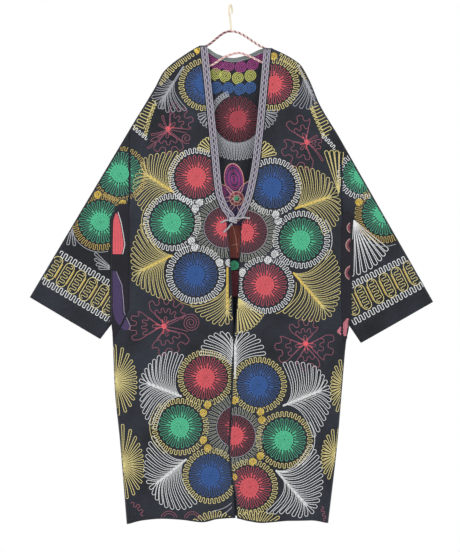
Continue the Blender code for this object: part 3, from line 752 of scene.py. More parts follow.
def round_loop(spine, near, far):
    """A narrow loop about a line, from one half width to another, with a round far end."""
    path, places = resample(spine, 3.0)
    normal = across_path(path)
    half = mix(near, far, places / places[-1])[:, None]
    cap_turn = np.radians(np.arange(30, 180, 30))[:, None]
    forward = np.array([normal[-1, 1], -normal[-1, 0]])
    cap = path[-1] + far * (np.cos(cap_turn) * normal[-1] + np.sin(cap_turn) * forward)
    return np.concatenate([path + normal * half, cap, (path - normal * half)[::-1]])


def meander(line, height, pitch, square=3.0):
    """A wave to and fro across a line, square or soft, its turns a little rounder than its waists."""
    line, places = resample(line, 2.0)
    waves = max(round(places[-1] / pitch), 1)
    t = np.linspace(0, waves, waves * 22 + 1)
    shift = places[-1] / waves * (t - FULLNESS * np.sin(4 * np.pi * t))
    across = height / 2 * np.tanh(square * np.sin(2 * np.pi * t)) / math.tanh(square)
    normal = across_path(line)
    middle, side = (np.stack([np.interp(shift, places, a[:, k]) for k in (0, 1)], -1) for a in (line, normal))
    return middle + side * across[:, None]


def both_faces():
    """Each side of the robe, with the front and the back there: they carry the same work."""
    return [(side, f"{face}_{side}") for side in SIDES for face in ("front", "back")]


print("lines: arc, spiral, bend, loop and meander")

# %% [markdown]
# ## Roundels and rings
# Twelve suns make up two wreaths, one at the waist and one above the hem, each round a pair of
# dark red suns on the two front edges. Red, green and blue take turns. The upper rings are white
# meanders and the lower ones yellow, and short grey spokes ring the dark suns. Two more suns sit on
# each sleeve and one on each shoulder. A sun is worked from its middle outwards.

# %% A sun in its ring

HUES = {    # middle of a roundel, its spokes, and the thread between them
    "red": ("red", "cherry", "maroon"), "green": ("green", "leaf", "deep_green"),
    "blue": ("blue", "royal", "navy"), "wine": ("red", "wine", "maroon"),
    "dusk": ("cherry", "wine", "maroon"),
}
SPOKES, RING_SPOKE_PITCH = 24, 8
# Width, and rise where it isn't the usual one, of each line of a sun, in millimetres.
CORE, SPOKE, RAY, GROUND, RING = (3.0, 1.6), (2.0,), (2.3, 1.1), (2.4, 0.4), (2.3,)


def roundel(where, hue, x, z, core, reach, inner, outer, ring):
    """A sun of spokes round a solid spiral, inside a ring."""
    centre, (middle, spokes, ground) = (x, z), HUES[hue]
    stitch(where, middle, spiral(centre, 0.6, core - 1, 3.1), *CORE)
    for k in range(SPOKES):
        turn = 360 * k / SPOKES + 7
        spoke = [polar(centre, turn, core), polar(centre, turn, reach - 3)]
        stitch(where, spokes, round_loop(spoke, 1.5, 3.1), *SPOKE)
        ray = [polar(centre, turn, core - 2), polar(centre, turn, core + 4 + 4 * (k % 3))]
        stitch(where, middle, ray, *RAY)
        turn += 180 / SPOKES
        stitch(where, ground, [polar(centre, turn, core + 3), polar(centre, turn, reach - 1)], *GROUND)
    if ring == "stone":
        stitch(where, "silver", arc(centre, inner + 1), 1.8)
        count = int(2 * math.pi * inner / RING_SPOKE_PITCH)
        for k in range(count):
            turn = 360 * k / count
            spoke = [polar(centre, turn, inner + 3), polar(centre, turn + 2, outer - 3)]
            stitch(where, "stone", round_loop(spoke, 1.2, 2.8), 2.2)
    else:
        pitch = 10.5 if ring == "ochre" else 11.5
        stitch(where, ring, meander(arc(centre, (inner + outer) / 2), outer - inner - 2, pitch), *RING)


print(SPOKES, "spokes to a sun")

# %% [markdown]
# Each place is a distance from the centre line and a height. Each sun has its own radii, because
# they were drawn on the cloth by hand. The back takes the same wreaths, with one dark sun in the
# middle of each and a green one between the shoulders.

# %% Place the roundels

ROUNDELS = {    # hue, x, z, core, spokes' reach, ring from and to, ring's shade
    "left": [("red", -87, -445, 26, 55, 60, 75, "ivory"), ("green", -151, -563, 26, 55, 60, 75, "ivory"),
             ("blue", -90, -698, 26, 55, 60, 77, "ivory"), ("wine", -15, -576, 23, 52, 53, 79, "stone"),
             ("red", -64, -965, 26, 55, 58, 73, "yellow"), ("green", -130, -1092, 26, 55, 60, 74, "yellow"),
             ("blue", -51, -1219, 26, 55, 58, 73, "yellow"), ("wine", 20, -1092, 23, 54, 55, 84, "stone"),
             ("blue", -66, -206, 25, 50, 54, 69, "yellow"), ("green", -287, -437, 25, 57, 60, 72, "ochre"),
             ("green", -337, -562, 25, 55, 58, 74, "ochre")],
    "right": [("blue", 109, -471, 26, 55, 60, 75, "ivory"), ("green", 183, -608, 26, 55, 60, 75, "ivory"),
              ("red", 90, -725, 26, 55, 60, 75, "ivory"), ("wine", 40, -588, 23, 55, 55, 78, "stone"),
              ("blue", 73, -984, 26, 55, 58, 73, "yellow"), ("green", 139, -1126, 26, 55, 60, 74, "yellow"),
              ("red", 50, -1248, 26, 54, 58, 73, "yellow"), ("wine", 10, -1116, 25, 53, 54, 75, "stone"),
              ("red", 109, -205, 24, 51, 54, 70, "yellow"), ("green", 341, -440, 24, 48, 50, 64, "ivory"),
              ("green", 398, -541, 25, 55, 58, 76, "ochre")],
}
SMALL_BALLS = {     # shade, then x and z of each little spiral
    "left": [("ivory", [(-79, -512), (-90, -528), (-100, -611), (-92, -627), (-27, -667), (-3, -667)]),
             ("gold", [(-58, -1035), (-69, -1056), (-69, -1126), (-58, -1147), (-84, -114), (-344, -491),
                       (-365, -481), (-279, -514)])],
    "right": [("ivory", [(118, -543), (124, -559), (115, -645), (98, -661), (31, -692)]),
              ("gold", [(12, -1023), (79, -1054), (82, -1074), (78, -1167), (58, -1182), (9, -1222),
                        (113, -132), (334, -510)])],
}
BACK_ROUNDELS = [   # the same for the middle of the back
    ("wine", 8, -580, 23, 52, 53, 79, "stone"), ("wine", 16, -1104, 23, 52, 53, 79, "stone"),
    ("green", 13, -335, 26, 55, 58, 73, "yellow"),
]
BACK_BALLS = [(12, -424), (12, -446)]
BALL_RADIUS = 11.0


def ball(where, shade, place):
    """A small raised spiral."""
    stitch(where, shade, spiral(place, 0.8, BALL_RADIUS - 1, 3.3), 2.8, 1.6)


for side, where in both_faces():
    for row in ROUNDELS[side]:
        if where.startswith("front") or row[0] != "wine":
            roundel(where, *row)
    for shade, places in SMALL_BALLS[side]:
        for place in places:
            ball(where, shade, place)
            stitch(where, "ink", arc(place, BALL_RADIUS + 1.6), 3.4, 1.7)
for row in BACK_ROUNDELS:
    roundel("back", *row)
for place in BACK_BALLS:
    ball("back", "ivory", place)
print(sum(len(rows) for rows in ROUNDELS.values()), "suns on the fronts and sleeves")

# %% [markdown]
# ## Feathers and fans
# Sprays of long loops fill the ground between and around the wreaths: yellow above, white below,
# and yellow fans that open inwards from both sides. In a feather the loops leave a stem one after
# another. In a fan they all start from one point.

# %% Feathers and fans

FEATHER_PITCH, FEATHER_HALF, FEATHER_THREAD = 17.0, 4.5, 1.95   # between tips; half a loop; thread


def outline(base, stem, tips):
    """Angles and reaches of evenly spaced loop tips, from a stem's end through three tips."""
    rows = [stem, *tips]
    turns = np.unwrap([row[0] for row in rows], period=360)
    share = np.linspace(0, len(rows) - 1, 120)
    turn = smooth(list(enumerate(turns)), share)
    reach = smooth([(k, row[1]) for k, row in enumerate(rows)], share)
    line = np.stack([reach * np.cos(np.radians(turn)), reach * np.sin(np.radians(turn))], -1)
    along = np.concatenate([[0], np.cumsum(np.hypot(*np.diff(line, axis=0).T))])
    places = np.linspace(0, along[-1], max(round(along[-1] / FEATHER_PITCH), 2) + 1)[1:]
    return np.interp(places, along, turn), np.interp(places, along, reach)


def feather(where, shade, base, stem, *sides):
    """A stem with long loops that leave it one after another, to tips on either side."""
    bright = "gold" if shade == "yellow" else shade
    stitch(where, bright, round_loop([base, polar(base, stem[0], 0.74 * stem[1])], 1.3, 1.8), 2.8, 1.3)
    tip = [polar(base, stem[0], 0.7 * stem[1]), polar(base, stem[0], stem[1] - FEATHER_HALF)]
    stitch(where, shade, round_loop(tip, 1.0, FEATHER_HALF), FEATHER_THREAD)
    for tips in sides:
        for turn, reach in zip(*outline(base, stem, tips)):
            lean = (turn - stem[0] + 180) % 360 - 180
            root = 3 + 0.78 * stem[1] * max(1 - abs(lean) / 75, 0) ** 1.2
            start, end = polar(base, stem[0], root), polar(base, turn, reach - FEATHER_HALF)
            pull = polar(start, stem[0] + 0.45 * lean, 0.4 * math.dist(start, end))
            spine = bend(start, pull, mix(pull, end, 0.5), end)
            stitch(where, shade, round_loop(spine, 1.0, FEATHER_HALF), FEATHER_THREAD)


def fan(where, shade, base, first, last, count, middle=None, half=3.4):
    """Loops from one base, from one angle and reach to another, with a reach in the middle."""
    for share in np.linspace(0, 1, count):
        turn, reach = mix(first[0], last[0], share), mix(first[1], last[1], share)
        if middle:      # the tips lie on an ellipse
            lean = math.radians(turn - (first[0] + last[0]) / 2)
            reach = reach * middle / math.hypot(reach * math.cos(lean), middle * math.sin(lean))
        spine = bend(base, polar(base, turn * 0.94 + 0.06 * (first[0] + last[0]) / 2, reach * 0.5),
                     polar(base, turn, reach - half))
        stitch(where, shade, round_loop(spine, 0.6, half), 2.3)


print("feather tips", FEATHER_PITCH, "mm apart")

# %% [markdown]
# The curly flowers on the chest and the skirt are drawn in rose thread with one wavy line for each
# petal, a smaller one inside it, curled tendrils, and a bright red eye in the middle.

# %% Curly flowers

def wavy_petal(centre, heading, half_spread, reach, waves):
    """Out along one side, across in smooth waves, and back along the other side."""
    edge = arc(centre, reach, heading + half_spread, -2 * half_spread)
    length = 2 * math.radians(half_spread) * reach
    waved = meander(edge, min(0.3 * reach, 17), length / waves, square=1.0)
    ends = []
    for side, corner in ((1, waved[0]), (-1, waved[-1])):
        near = polar(centre, heading + side * 0.55 * half_spread, 0.5 * reach)
        far = polar(centre, heading + side * 1.35 * half_spread, 0.86 * reach)
        ends.append(bend(centre, near, far, corner))
    path = resample(np.concatenate([ends[0][:-1], waved, ends[1][::-1][1:]]), 2.0)[0]
    for _ in range(3):      # rounds off the corners
        path[1:-1] = (path[:-2] + 2 * path[1:-1] + path[2:]) / 4
    return path


def curly_flower(where, shade, x, z, petals, curls, feelers):
    """Wavy petals, one inside the other, with curls and feelers about a bright eye."""
    for heading, half_spread, reach, waves in petals:
        for share in (1.0, 0.64):
            petal = wavy_petal((x, z), heading, half_spread * (0.85 + 0.15 * share), reach * share, waves)
            stitch(where, shade, petal, 2.3)
        small = [polar((x, z), heading, 0.12 * reach), polar((x, z), heading, 0.34 * reach)]
        stitch(where, shade, round_loop(small, 1.5, 3.6), 2.2)
        for side in (-1, 1):
            tip = polar((x, z), heading + side * 0.6 * half_spread, 0.3 * reach)
            stitch(where, "red", [(x, z), tip], 2.4, 1.3)
    for heading, reach, radius in curls:
        centre = polar((x, z), heading, reach)
        stitch(where, shade, spiral(centre, 3, radius, 6.6, heading + 90), 2.3)
        for side in (-1, 1):
            near = polar((x, z), heading + side * 14, reach * 0.55)
            stitch(where, shade, bend((x, z), near, polar(centre, heading + side * 115, radius)), 2.3)
    for heading, reach in feelers:
        far = polar((x, z), heading, reach)
        bow = polar((x, z), heading + 12, reach * 0.5)
        stitch(where, shade, round_loop(bend((x, z), bow, far), 0.8, 2.4), 2.0)
    stitch(where, "red", spiral((x, z), 0.6, 7), 3.0, 1.3)


print("petals: two wavy lines each")

# %% [markdown]
# The tables place every spray. Angles are in degrees, turning left from the viewer's right, and
# reaches are in millimetres from the base. The silver ones lie over the shoulders.

# %% Place the feathers, fans and flowers

# Each feather: shade, base, stem's angle and length, then three tips a side, as angle and reach.
FEATHERS = {
    "left": [
        ("yellow", (-146, -486), (147, 108),
         [(129, 119), (106, 108), (78, 107)], [(160, 111), (185, 104), (217, 92)]),
        ("yellow", (-150, -648), (206, 116),
         [(197, 111), (160, 107), (128, 118)], [(211, 124), (236, 116), (267, 118)]),
        ("yellow", (-8, -678), (270, 149),
         [(262, 154), (247, 148), (228, 139)], [(272, 150), (277, 110), (288, 70)]),
        ("ivory", (10, -967), (93, 107),
         [(102, 124), (120, 128), (143, 113)], [(86, 120), (78, 112), (70, 90)]),
        ("ivory", (-126, -1014), (159, 118),
         [(134, 120), (111, 123), (90, 109)], [(179, 109), (202, 110), (229, 111)]),
        ("ivory", (-113, -1175), (219, 124),
         [(196, 116), (176, 107), (148, 107)], [(245, 137), (268, 130), (281, 119)]),
        ("silver", (-121, -158), (238, 112),
         [(244, 130), (225, 116), (204, 63)], [(249, 128), (257, 122), (271, 116)]),
    ],
    "right": [
        ("yellow", (166, -528), (19, 120),
         [(38, 121), (64, 115), (90, 110)], [(0, 121), (340, 115), (321, 103)]),
        ("yellow", (162, -693), (311, 150),
         [(336, 134), (0, 122), (29, 115)], [(297, 142), (279, 123), (258, 108)]),
        ("ivory", (12, -967), (90, 112),
         [(80, 124), (66, 124), (41, 103)], [(96, 110), (102, 90), (110, 70)]),
        ("ivory", (135, -1038), (22, 131),
         [(46, 134), (66, 124), (87, 113)], [(0, 124), (341, 117), (317, 116)]),
        ("ivory", (117, -1204), (311, 149),
         [(336, 132), (359, 121), (34, 115)], [(297, 138), (282, 114), (260, 114)]),
        ("silver", (173, -151), (295, 104),
         [(299, 118), (312, 112), (326, 84)], [(289, 124), (276, 118), (258, 104)]),
    ],
}
# Each fan: shade, base, angle and reach of its first and last loop and their number, then, where
# it needs them, the reach in its middle and the half width of a loop.
FANS = {
    "left": [("yellow", (-300, -974), (90, 94), (-84, 90), 14, 58),
             ("yellow", (-283, -1191), (88, 106), (-80, 90), 14, 59),
             ("yellow", (-44, -1362), (165, 72), (40, 60), 9, 52)],
    "right": [("yellow", (299, -988), (88, 78), (265, 76), 13, 40),
              ("yellow", (275, -1167), (84, 73), (266, 68), 13, 40),
              ("yellow", (17, -757), (325, 83), (268, 94), 10),
              ("yellow", (64, -1366), (158, 92), (20, 96), 11, 56),
              ("yellow", (281, -487), (107, 115), (86, 108), 4, None, 5.2),
              ("ivory", (320, -557), (318, 118), (268, 146), 8, None, 5.2)],
}
NECK_FANS = {   # the same for the small fans beside the neck bands, which only the fronts have
    "left": [("silver", (-50, -276), (196, 36), (256, 44), 5, None, 3.6),
             ("yellow", (-40, -384), (109, 46), (165, 48), 6, None, 3.6)],
    "right": [("silver", (76, -274), (358, 46), (284, 50), 6, None, 3.6),
              ("yellow", (64, -398), (70, 50), (14, 56), 6, None, 3.6)],
}
ARCS = {    # shade, centre, radius, start and sweep of thin lines outside some rings
    "left": [("yellow", (-151, -563), 79, 140, 80), ("ochre", (-90, -698), 81, 205, 120),
             ("yellow", (-130, -1092), 79, 130, 110)],
    "right": [("yellow", (90, -725), 80, 290, 75), ("ivory", (139, -1126), 79, -55, 90),
              ("ivory", (183, -608), 80, -40, 80), ("silver", (398, -541), 84, 212, 80)],
}
FLOWERS = {     # x, z, petals as heading, half spread, reach and waves, curls and feelers as heading, reach
    "left": [(-162, -322, [(42, 38, 62, 3), (264, 48, 56, 3)], [(334, 54, 14)],
              [(112, 37), (151, 25), (198, 44), (223, 70)]),
             (-172, -833, [(79, 45, 66, 4), (178, 27, 80, 3), (289, 46, 66, 3)], [(8, 70, 24)], [])],
    "right": [(198, -356, [(230, 52, 62, 3), (113, 28, 64, 2), (345, 28, 34, 2)], [], [(311, 61), (33, 30)]),
              (195, -878, [(96, 40, 56, 3), (192, 27, 72, 2), (275, 30, 60, 2), (350, 30, 66, 2)], [], [])],
}

for side, where in both_faces():
    for row in FEATHERS[side]:
        feather(where, *row)
    for row in FANS[side] + (NECK_FANS[side] if where.startswith("front") else []):
        fan(where, *row)
    for row in FLOWERS[side]:
        curly_flower(where, "rose", *row)
    for shade, *row in ARCS[side]:
        stitch(where, shade, arc(*row), 2.0)
fan("back", "silver", (18, -254), (48, 78), (132, 78), 8, 66)
print(sum(len(rows) for rows in FEATHERS.values()), "feathers on the fronts")

# %% [markdown]
# ## Cuffs
# Each cuff has a border of tall yellow links between two white meanders, with plain cloth beyond
# it. A link is a loop with straight sides and round ends. A narrow meander runs down its middle,
# and a brighter line closes the gap to the next link.

# %% Cuff borders

CUFFS = {   # ends of the upper and of the lower white meander, from the fold inwards
    "left": [((-443, -643), (-300, -730)), ((-489, -712), (-296, -826))],
    "right": [((458, -655), (306, -730)), ((503, -722), (300, -832))],
}
LINK_PITCH, LINK_HALF = 35.0, 12.5
LINK_START, LINK_LENGTH = 20, 42        # from the upper meander to a link's first centre; between centres


def stadium(a, b, half):
    """A closed loop with straight sides and round ends about a short line."""
    along = math.degrees(math.atan2(b[1] - a[1], b[0] - a[0]))
    ends = [arc(b, half, along + 90, -180), arc(a, half, along - 90, -180)]
    return np.concatenate([*ends, ends[0][:1]])


for side, where in both_faces():
    upper, lower = CUFFS[side]
    along = np.subtract(upper[1], upper[0]) / math.dist(*upper)
    down = np.array([along[1], -along[0]]) * -SIDES[side]
    for line in (upper, lower):
        stitch(where, "ivory", meander(line, 15, 13.5), 2.6)
    for k in range(-1, 6):      # the first and last ones run into the folds
        top = np.add(upper[0], along * (k + 0.2) * LINK_PITCH) + down * LINK_START
        foot = top + down * LINK_LENGTH
        stitch(where, "yellow", stadium(top, foot, LINK_HALF), 2.6)
        stitch(where, "yellow", meander([top - down * 7, foot + down * 7], 14, 13.0), 2.1)
        beside = along * (LINK_HALF + 2.6)
        stitch(where, "gold", [top + beside, foot + beside], 2.0)
print("cuff links", LINK_PITCH, "mm apart")

# %% [markdown]
# ## Shoulders and hem
# Ground that the large motifs leave bare is filled with short meanders along the shoulders, small
# fans and arcs on the left sleeve, and rose half rings that rest on the hem. They keep the cloth
# evenly covered, as an embroiderer would who fills each gap when the large motifs are done.

# %% Shoulders, hem and small fillings

FILLINGS = {    # shade, height and pitch of a meander, and the line that it follows
    "left": [("yellow", 15, 11, [(-98, -124), (-144, -156), (-188, -206)]),
             ("yellow", 24, 17, [(-204, -246), (-220, -282), (-240, -322)]),
             ("yellow", 8, 9, [(-196, -256), (-210, -292), (-222, -340)]),
             ("ivory", 9, 11, [(-254, -314), (-236, -330), (-216, -346)]),
             ("gold", 9, 4, [(-92, -112), (-84, -126)]),
             ("rose", 9, 16, [(-258, -1292), (-240, -1298), (-226, -1322)])],
    "right": [("yellow", 15, 11, [(127, -131), (169, -156), (200, -190)]),
              ("yellow", 24, 17, [(216, -256), (236, -296), (256, -334)]),
              ("yellow", 8, 9, [(208, -262), (224, -300), (242, -340)]),
              ("ivory", 9, 11, [(236, -336), (254, -352), (272, -372)]),
              ("rose", 7, 12, [(236, -1300), (246, -1336)])],
}
for side, where in both_faces():
    for shade, height, pitch, line in FILLINGS[side]:
        stitch(where, shade, meander(line, height, pitch))
for where in ("front_left", "back_left"):
    fan(where, "silver", (-411, -572), (238, 49), (277, 52), 3)
    fan(where, "silver", (-306, -684), (138, 62), (176, 36), 4)
    stitch(where, "silver", arc((-337, -562), 78, 175, 110), 2.0)
    stitch(where, "silver", bend((3, -1288), (-24, -1314), (-48, -1304), (-53, -1319)), 2.2)
    stitch(where, "silver", bend((4, -1299), (-12, -1318), (-34, -1324)), 2.2)
    for centre in ((-159, -1331), (-99, -1332)):
        for radius in (21, 15):
            stitch(where, "rose", arc(centre, radius, 0, 180), 2.2)
print(sum(len(rows) for rows in FILLINGS.values()), "short meanders")

# %% [markdown]
# ## What shows inside the neck and on the gussets
# Through the open neck the inside of the back shows rows of small spirals, a dark red sun, and a
# flower of purple and magenta ovals edged with peach thread round a raised eye. Below the neck only
# a narrow strip shows, filled with close rows of purple, brick and dark red.

# %% Inside of the back

FILL_PITCH = 2.7


def filled(where, shade, rows, width=2.8):
    """Close rows of thread across a shape: rows hold a height and its two edges."""
    heights = np.arange(rows[0][0], rows[-1][0], -FILL_PITCH)
    first, last = smooth([row[:2] for row in rows], heights), smooth([row[::2] for row in rows], heights)
    for z, a, b in zip(heights, first, last):
        if b - a > 2 * width:
            stitch(where, shade, [(a, z), (b, z)], width)


SPIRAL_ROWS = [     # shade, radius and places
    ("magenta", 16, [(-50, -132), (-33, -152), (-4, -155), (28, -158), (59, -152), (76, -132)]),
    ("lime", 16, [(-38, -176), (-13, -181), (20, -186), (53, -180)]),
    ("slate", 16, [(-36, -211), (-5, -213), (26, -215), (53, -211)]),
]
for shade, radius, places in SPIRAL_ROWS:
    for place in places:
        stitch("inside", shade, spiral(place, 1, radius, 4.0), 2.9)
SUN = (18, -293)
roundel("inside", "dusk", *SUN, 24, 57, 58, 60, "maroon")
for turn in np.arange(112, 182, 6):
    spoke = [polar(SUN, turn, 62), polar(SUN, turn, 74)]
    stitch("inside", "silver", round_loop(spoke, 1.6, 2.6), 2.8)
for turn in np.arange(182, 362, 5.5):
    reach = 104 if turn < 290 else 96
    spoke = [polar(SUN, turn, 61), polar(SUN, turn + 3, reach)]
    stitch("inside", "silver", round_loop(spoke, 1.6, 2.6), 2.8)
EYE = (16, -500)
PETALS = [(158, 72, 20), (36, 76, 19), (212, 64, 20), (318, 64, 20), (268, 60, 18), (98, 92, 25)]
for turn, reach, half in PETALS:    # heading, reach and half width of each oval
    heart, long_half = polar(EYE, turn, (reach + 8) / 2), (reach - 8) / 2
    round_turn = np.linspace(0, 2 * np.pi, 60)
    along, side = (polar((0, 0), turn + more, 1) for more in (0, 90))
    oval = np.outer(np.cos(round_turn) * long_half, along) + np.outer(np.sin(round_turn) * half, side)
    for k, share in enumerate(np.arange(0.05, 0.95, 2.8 / half)):
        shade = "magenta" if turn in (98, 158) and k % 3 else "purple"
        stitch("inside", shade, heart + oval * share, 3.2)
    stitch("inside", "peach", heart + oval, 2.8, 1.4)
stitch("inside", "peach", arc(EYE, 18), 3.2, 2.2)
stitch("inside", "wine", spiral(EYE, 11, 17, 2.6), 3.0, 1.9)
stitch("inside", "stone", spiral(EYE, 5, 11, 2.8), 2.4, 2.1)
stitch("inside", "green", spiral(EYE, 0.6, 5), 3.0, 2.0)
stitch("inside", "green", spiral((10, -675), 0.8, 13), 3.0)
for shade, top, foot in (("purple", -556, -570), ("brick", -570, -654), ("wine", -690, -756)):
    filled("inside", shade, [(top, -14, 34), (foot, -14, 34)])
stitch("inside", "peach", bend((4, -566), (16, -600), (18, -640)), 2.0, 1.6)
stitch("inside", "peach", [(2, -622), (22, -618)], 2.0, 1.6)
print(len(PETALS), "ovals round the eye")

# %% [markdown]
# The gussets carry their own small work: a red and a purple patch on the left one and a pink patch
# on the right one, edged with white and lilac thread, and rings at the right side fold.

# %% Gussets

GUSSET_SHAPES = {   # shade, then height and both edges of each filled shape
    "left": [("red", [(-536, -297, -294), (-562, -304, -286), (-595, -305, -280), (-621, -305.5, -276),
                      (-646, -305.5, -282)]),
             ("purple", [(-690, -308, -299), (-725, -308, -284), (-764, -307, -280), (-796, -304, -278),
                         (-816, -298, -269), (-832, -287, -262), (-842, -277, -266)])],
    "right": [("pink", [(-813, 300, 309), (-830, 287, 309), (-846, 276, 308), (-858, 289, 303)])],
}
GUSSET_RINGS = [(316, -577, 14), (317, -622, 18), (316, -694, 19)]      # at the right side fold, with radii
for face in ("front", "back"):
    for side, shapes in GUSSET_SHAPES.items():
        where = f"{face}_gusset_{side}"
        for shade, rows in shapes:
            edge = [(row[2] + 2.5, row[0]) for row in rows]
            for ground in (where, f"{face}_{side}"):
                filled(ground, shade, rows)
                stitch(ground, "ivory" if shade == "red" else "lilac", edge, 2.2)
    for *place, radius in GUSSET_RINGS:
        for inset, shade in ((0, "blush"), (2.8, "rose"), (5.6, "wine")):   # one ring inside another
            stitch(face + "_gusset_right", shade, arc(place, radius - inset), 2.6)
print(len(GUSSET_RINGS), "rings on the right gusset")

# %% [markdown]
# ## Sewing
# All lines of one shade on one part of the robe become one piece of thread. So a shade can be
# changed or hidden by itself, and the front, the back and the inside stay apart.

# %% Sew every line

for (where, shade), lines in sorted(work.items()):
    sew(f"{where}_{shade}_thread", flosses[shade], where, lines)

# %% [markdown]
# ## Braid round the neck
# Each side of the neck is finished with a folded strip that carries four raised lines of lavender
# braid: a straight one near each edge, and two between them that swing apart and together like the
# links of a chain. The back of the neck has a plain grey-green binding, which narrows to a point at
# the shoulders.

# %% Neck bands

BAND_END = {"left": -557.0, "right": -552.0}
BAND_WIDTH, BAND_WALL = 18.0, 2.6
LINK = 15.0     # millimetres from one link of the braid to the next
FORWARDS = np.array([0.0, -1.0, 0.0])


def band_place(side, z, share):
    """A point on the band: 0 at the neck's seam, 1 at the band's inner edge."""
    edge = smooth(FRONT_EDGE[side], z)
    grade = (smooth(FRONT_EDGE[side], z + 1) - smooth(FRONT_EDGE[side], z - 1)) / 2
    x = edge - SIDES[side] * (SEAM_GAP + BAND_WIDTH * share) * np.sqrt(1 + grade ** 2)
    depth = np.maximum(body_depth(x, z, FRONT_FOLDS), SEAM_GAP / 2)
    return x, -depth


def raised_line(points, width, rise):
    """A ridge through 3-D points: its vertices and faces, three points across."""
    points = np.asarray(points, float)
    along = np.gradient(points, axis=0)
    along /= np.maximum(np.linalg.norm(along, axis=1, keepdims=True), 1e-9)
    side = np.cross(along, FORWARDS)
    side /= np.maximum(np.linalg.norm(side, axis=1, keepdims=True), 1e-9)
    width, rise = (np.broadcast_to(a, len(points))[:, None, None] for a in (width, rise))
    vertices = (points[:, None] + side[:, None] * width * np.array([0.5, 0, -0.5])[:, None]
                + FORWARDS * rise * np.array([0, 1, 0])[:, None])
    k = np.arange(len(points) - 1)[:, None] * 3
    return vertices.reshape(-1, 3), np.concatenate([k + [0, 3, 4, 1], k + [1, 4, 5, 2]])


def join(parts):
    """Several pieces of mesh as one: their points, faces and, where they have them, UVs."""
    starts = np.cumsum([0, *(len(part[0]) for part in parts)])
    points, faces, *marks = zip(*parts)
    moved = [quads + start for quads, start in zip(faces, starts)]
    return tuple(np.concatenate(rows) for rows in (points, moved, *marks))


for side, sign in SIDES.items():
    z = np.linspace(float(top_height(FRONT_EDGE[side][0][1])) - 0.5, BAND_END[side], 130)
    columns = [np.stack([*band_place(side, z, share), z], -1) for share in np.linspace(0, 1, 7)]
    points = np.stack(columns, axis=1)[:, ::-sign]
    cloth_grid(f"neck_strip_{side}", points, braid_ground, "neck_band_" + side,
               wall=BAND_WALL)
    links = []
    z = np.linspace(float(top_height(FRONT_EDGE[side][0][1])) - 4, BAND_END[side], 520)
    swing = np.abs(np.sin(np.pi * z / LINK)) ** 0.6
    beads = 1 + 0.14 * np.sin(2 * np.pi * z / (STITCH * 0.9))
    for way in (-1, 1):
        x, y = band_place(side, z, 0.5 + way * (0.05 + 0.17 * swing))
        links.append(raised_line(np.stack([x, y - BAND_WALL / 2, z], -1), 3.0 * beads, 1.5 * beads))
        x, y = band_place(side, z, 0.5 + way * 0.42)
        links.append(raised_line(np.stack([x, y - BAND_WALL / 2, z], -1), 2.6 * beads, 1.1 * beads))
    finish_piece(mesh_object(f"braid_{side}", *join(links), braid_silk))

x = np.linspace(BACK_NECK_LINE[0][0], BACK_NECK_LINE[-1][0], 60)
rows = []
for share in np.linspace(0, 1, 6):
    z = np.minimum(smooth(BACK_NECK_LINE, x) - back_band_width(x) * share, top_height(x))
    rows.append(np.stack([x, np.maximum(body_depth(x, z, BACK_FOLDS), SEAM_GAP / 2), z], -1))
cloth_grid("neck_binding", np.array(rows)[:, ::-1], neck_binding, "neck_band_back")
print("bands:", BAND_WIDTH, "mm wide, links of", LINK, "mm")

# %% [markdown]
# ## Cords, yarn and the wrapped hook
# The tie at the foot of the V and the yarn on the hanger are both twisted strands. A strand is a
# round tube on a helix about its middle line. Two of them make an end of the tie. Three with room
# between them give the deep grooves of hand-wound yarn. The hook is wound closely instead, so it
# gets one tube with fine turns.

# %% Twisted strands


def lengths_along(points):
    """How far along a line each of its points lies."""
    return np.concatenate([[0], np.cumsum(np.linalg.norm(np.diff(points, axis=0), axis=1))])


def round_about(points):
    """Two unit vectors at each point, square to the line and to each other."""
    along = np.gradient(points, axis=0)
    along /= np.linalg.norm(along, axis=1, keepdims=True)
    aside = np.cross(along, [0.13, 1.0, 0.21])      # any direction that no line here runs in
    aside /= np.linalg.norm(aside, axis=1, keepdims=True)
    return aside, np.cross(along, aside)


def route(rows, count):
    """Evenly spaced points on a smooth curve through a few (x, y, z) rows."""
    rows = np.array(rows, float)
    lengths = lengths_along(rows)
    places = np.linspace(0, lengths[-1], count)
    return np.stack([smooth(list(zip(lengths, rows[:, k])), places) for k in range(3)], -1)


def tube(points, radius, sides=7):
    """A round tube with closed ends: vertices, faces and UVs in stitches."""
    aside, over = round_about(points)
    turn = np.linspace(0, 2 * np.pi, sides, endpoint=False)
    radius = np.broadcast_to(radius, len(points))[:, None, None]
    round_it = aside[:, None] * np.cos(turn)[:, None] + over[:, None] * np.sin(turn)[:, None]
    ring = points[:, None] + radius * round_it
    ring[[0, -1]] = points[[0, -1], None]
    faces = grid_faces(len(points), sides, closed=True)
    marks = np.repeat(lengths_along(points) / STITCH, sides)
    uvs = np.stack([marks, np.tile(turn / (2 * np.pi), len(points))], -1)
    return ring.reshape(-1, 3), faces, uvs


def helix(line, radius, pitch, phase):
    """Points that wind about a line."""
    aside, over = round_about(line)
    turn = (2 * np.pi * lengths_along(line) / pitch + phase)[:, None]
    return line + radius * (aside * np.cos(turn) + over * np.sin(turn))


def strand_piece(name, tubes, finish, replaces):
    """One piece from a few tubes, in place of its CAD node."""
    vertices, faces, uvs = join(tubes)
    return finish_piece(mesh_object(name, vertices, faces, finish, uvs), replaces)


print("strands: tube on a helix")

# %% [markdown]
# The tie is a knot of three wraps over the ends of both bands, with three short ends. The knot
# leans a little, the way its cord was pulled tight.

# %% The tie

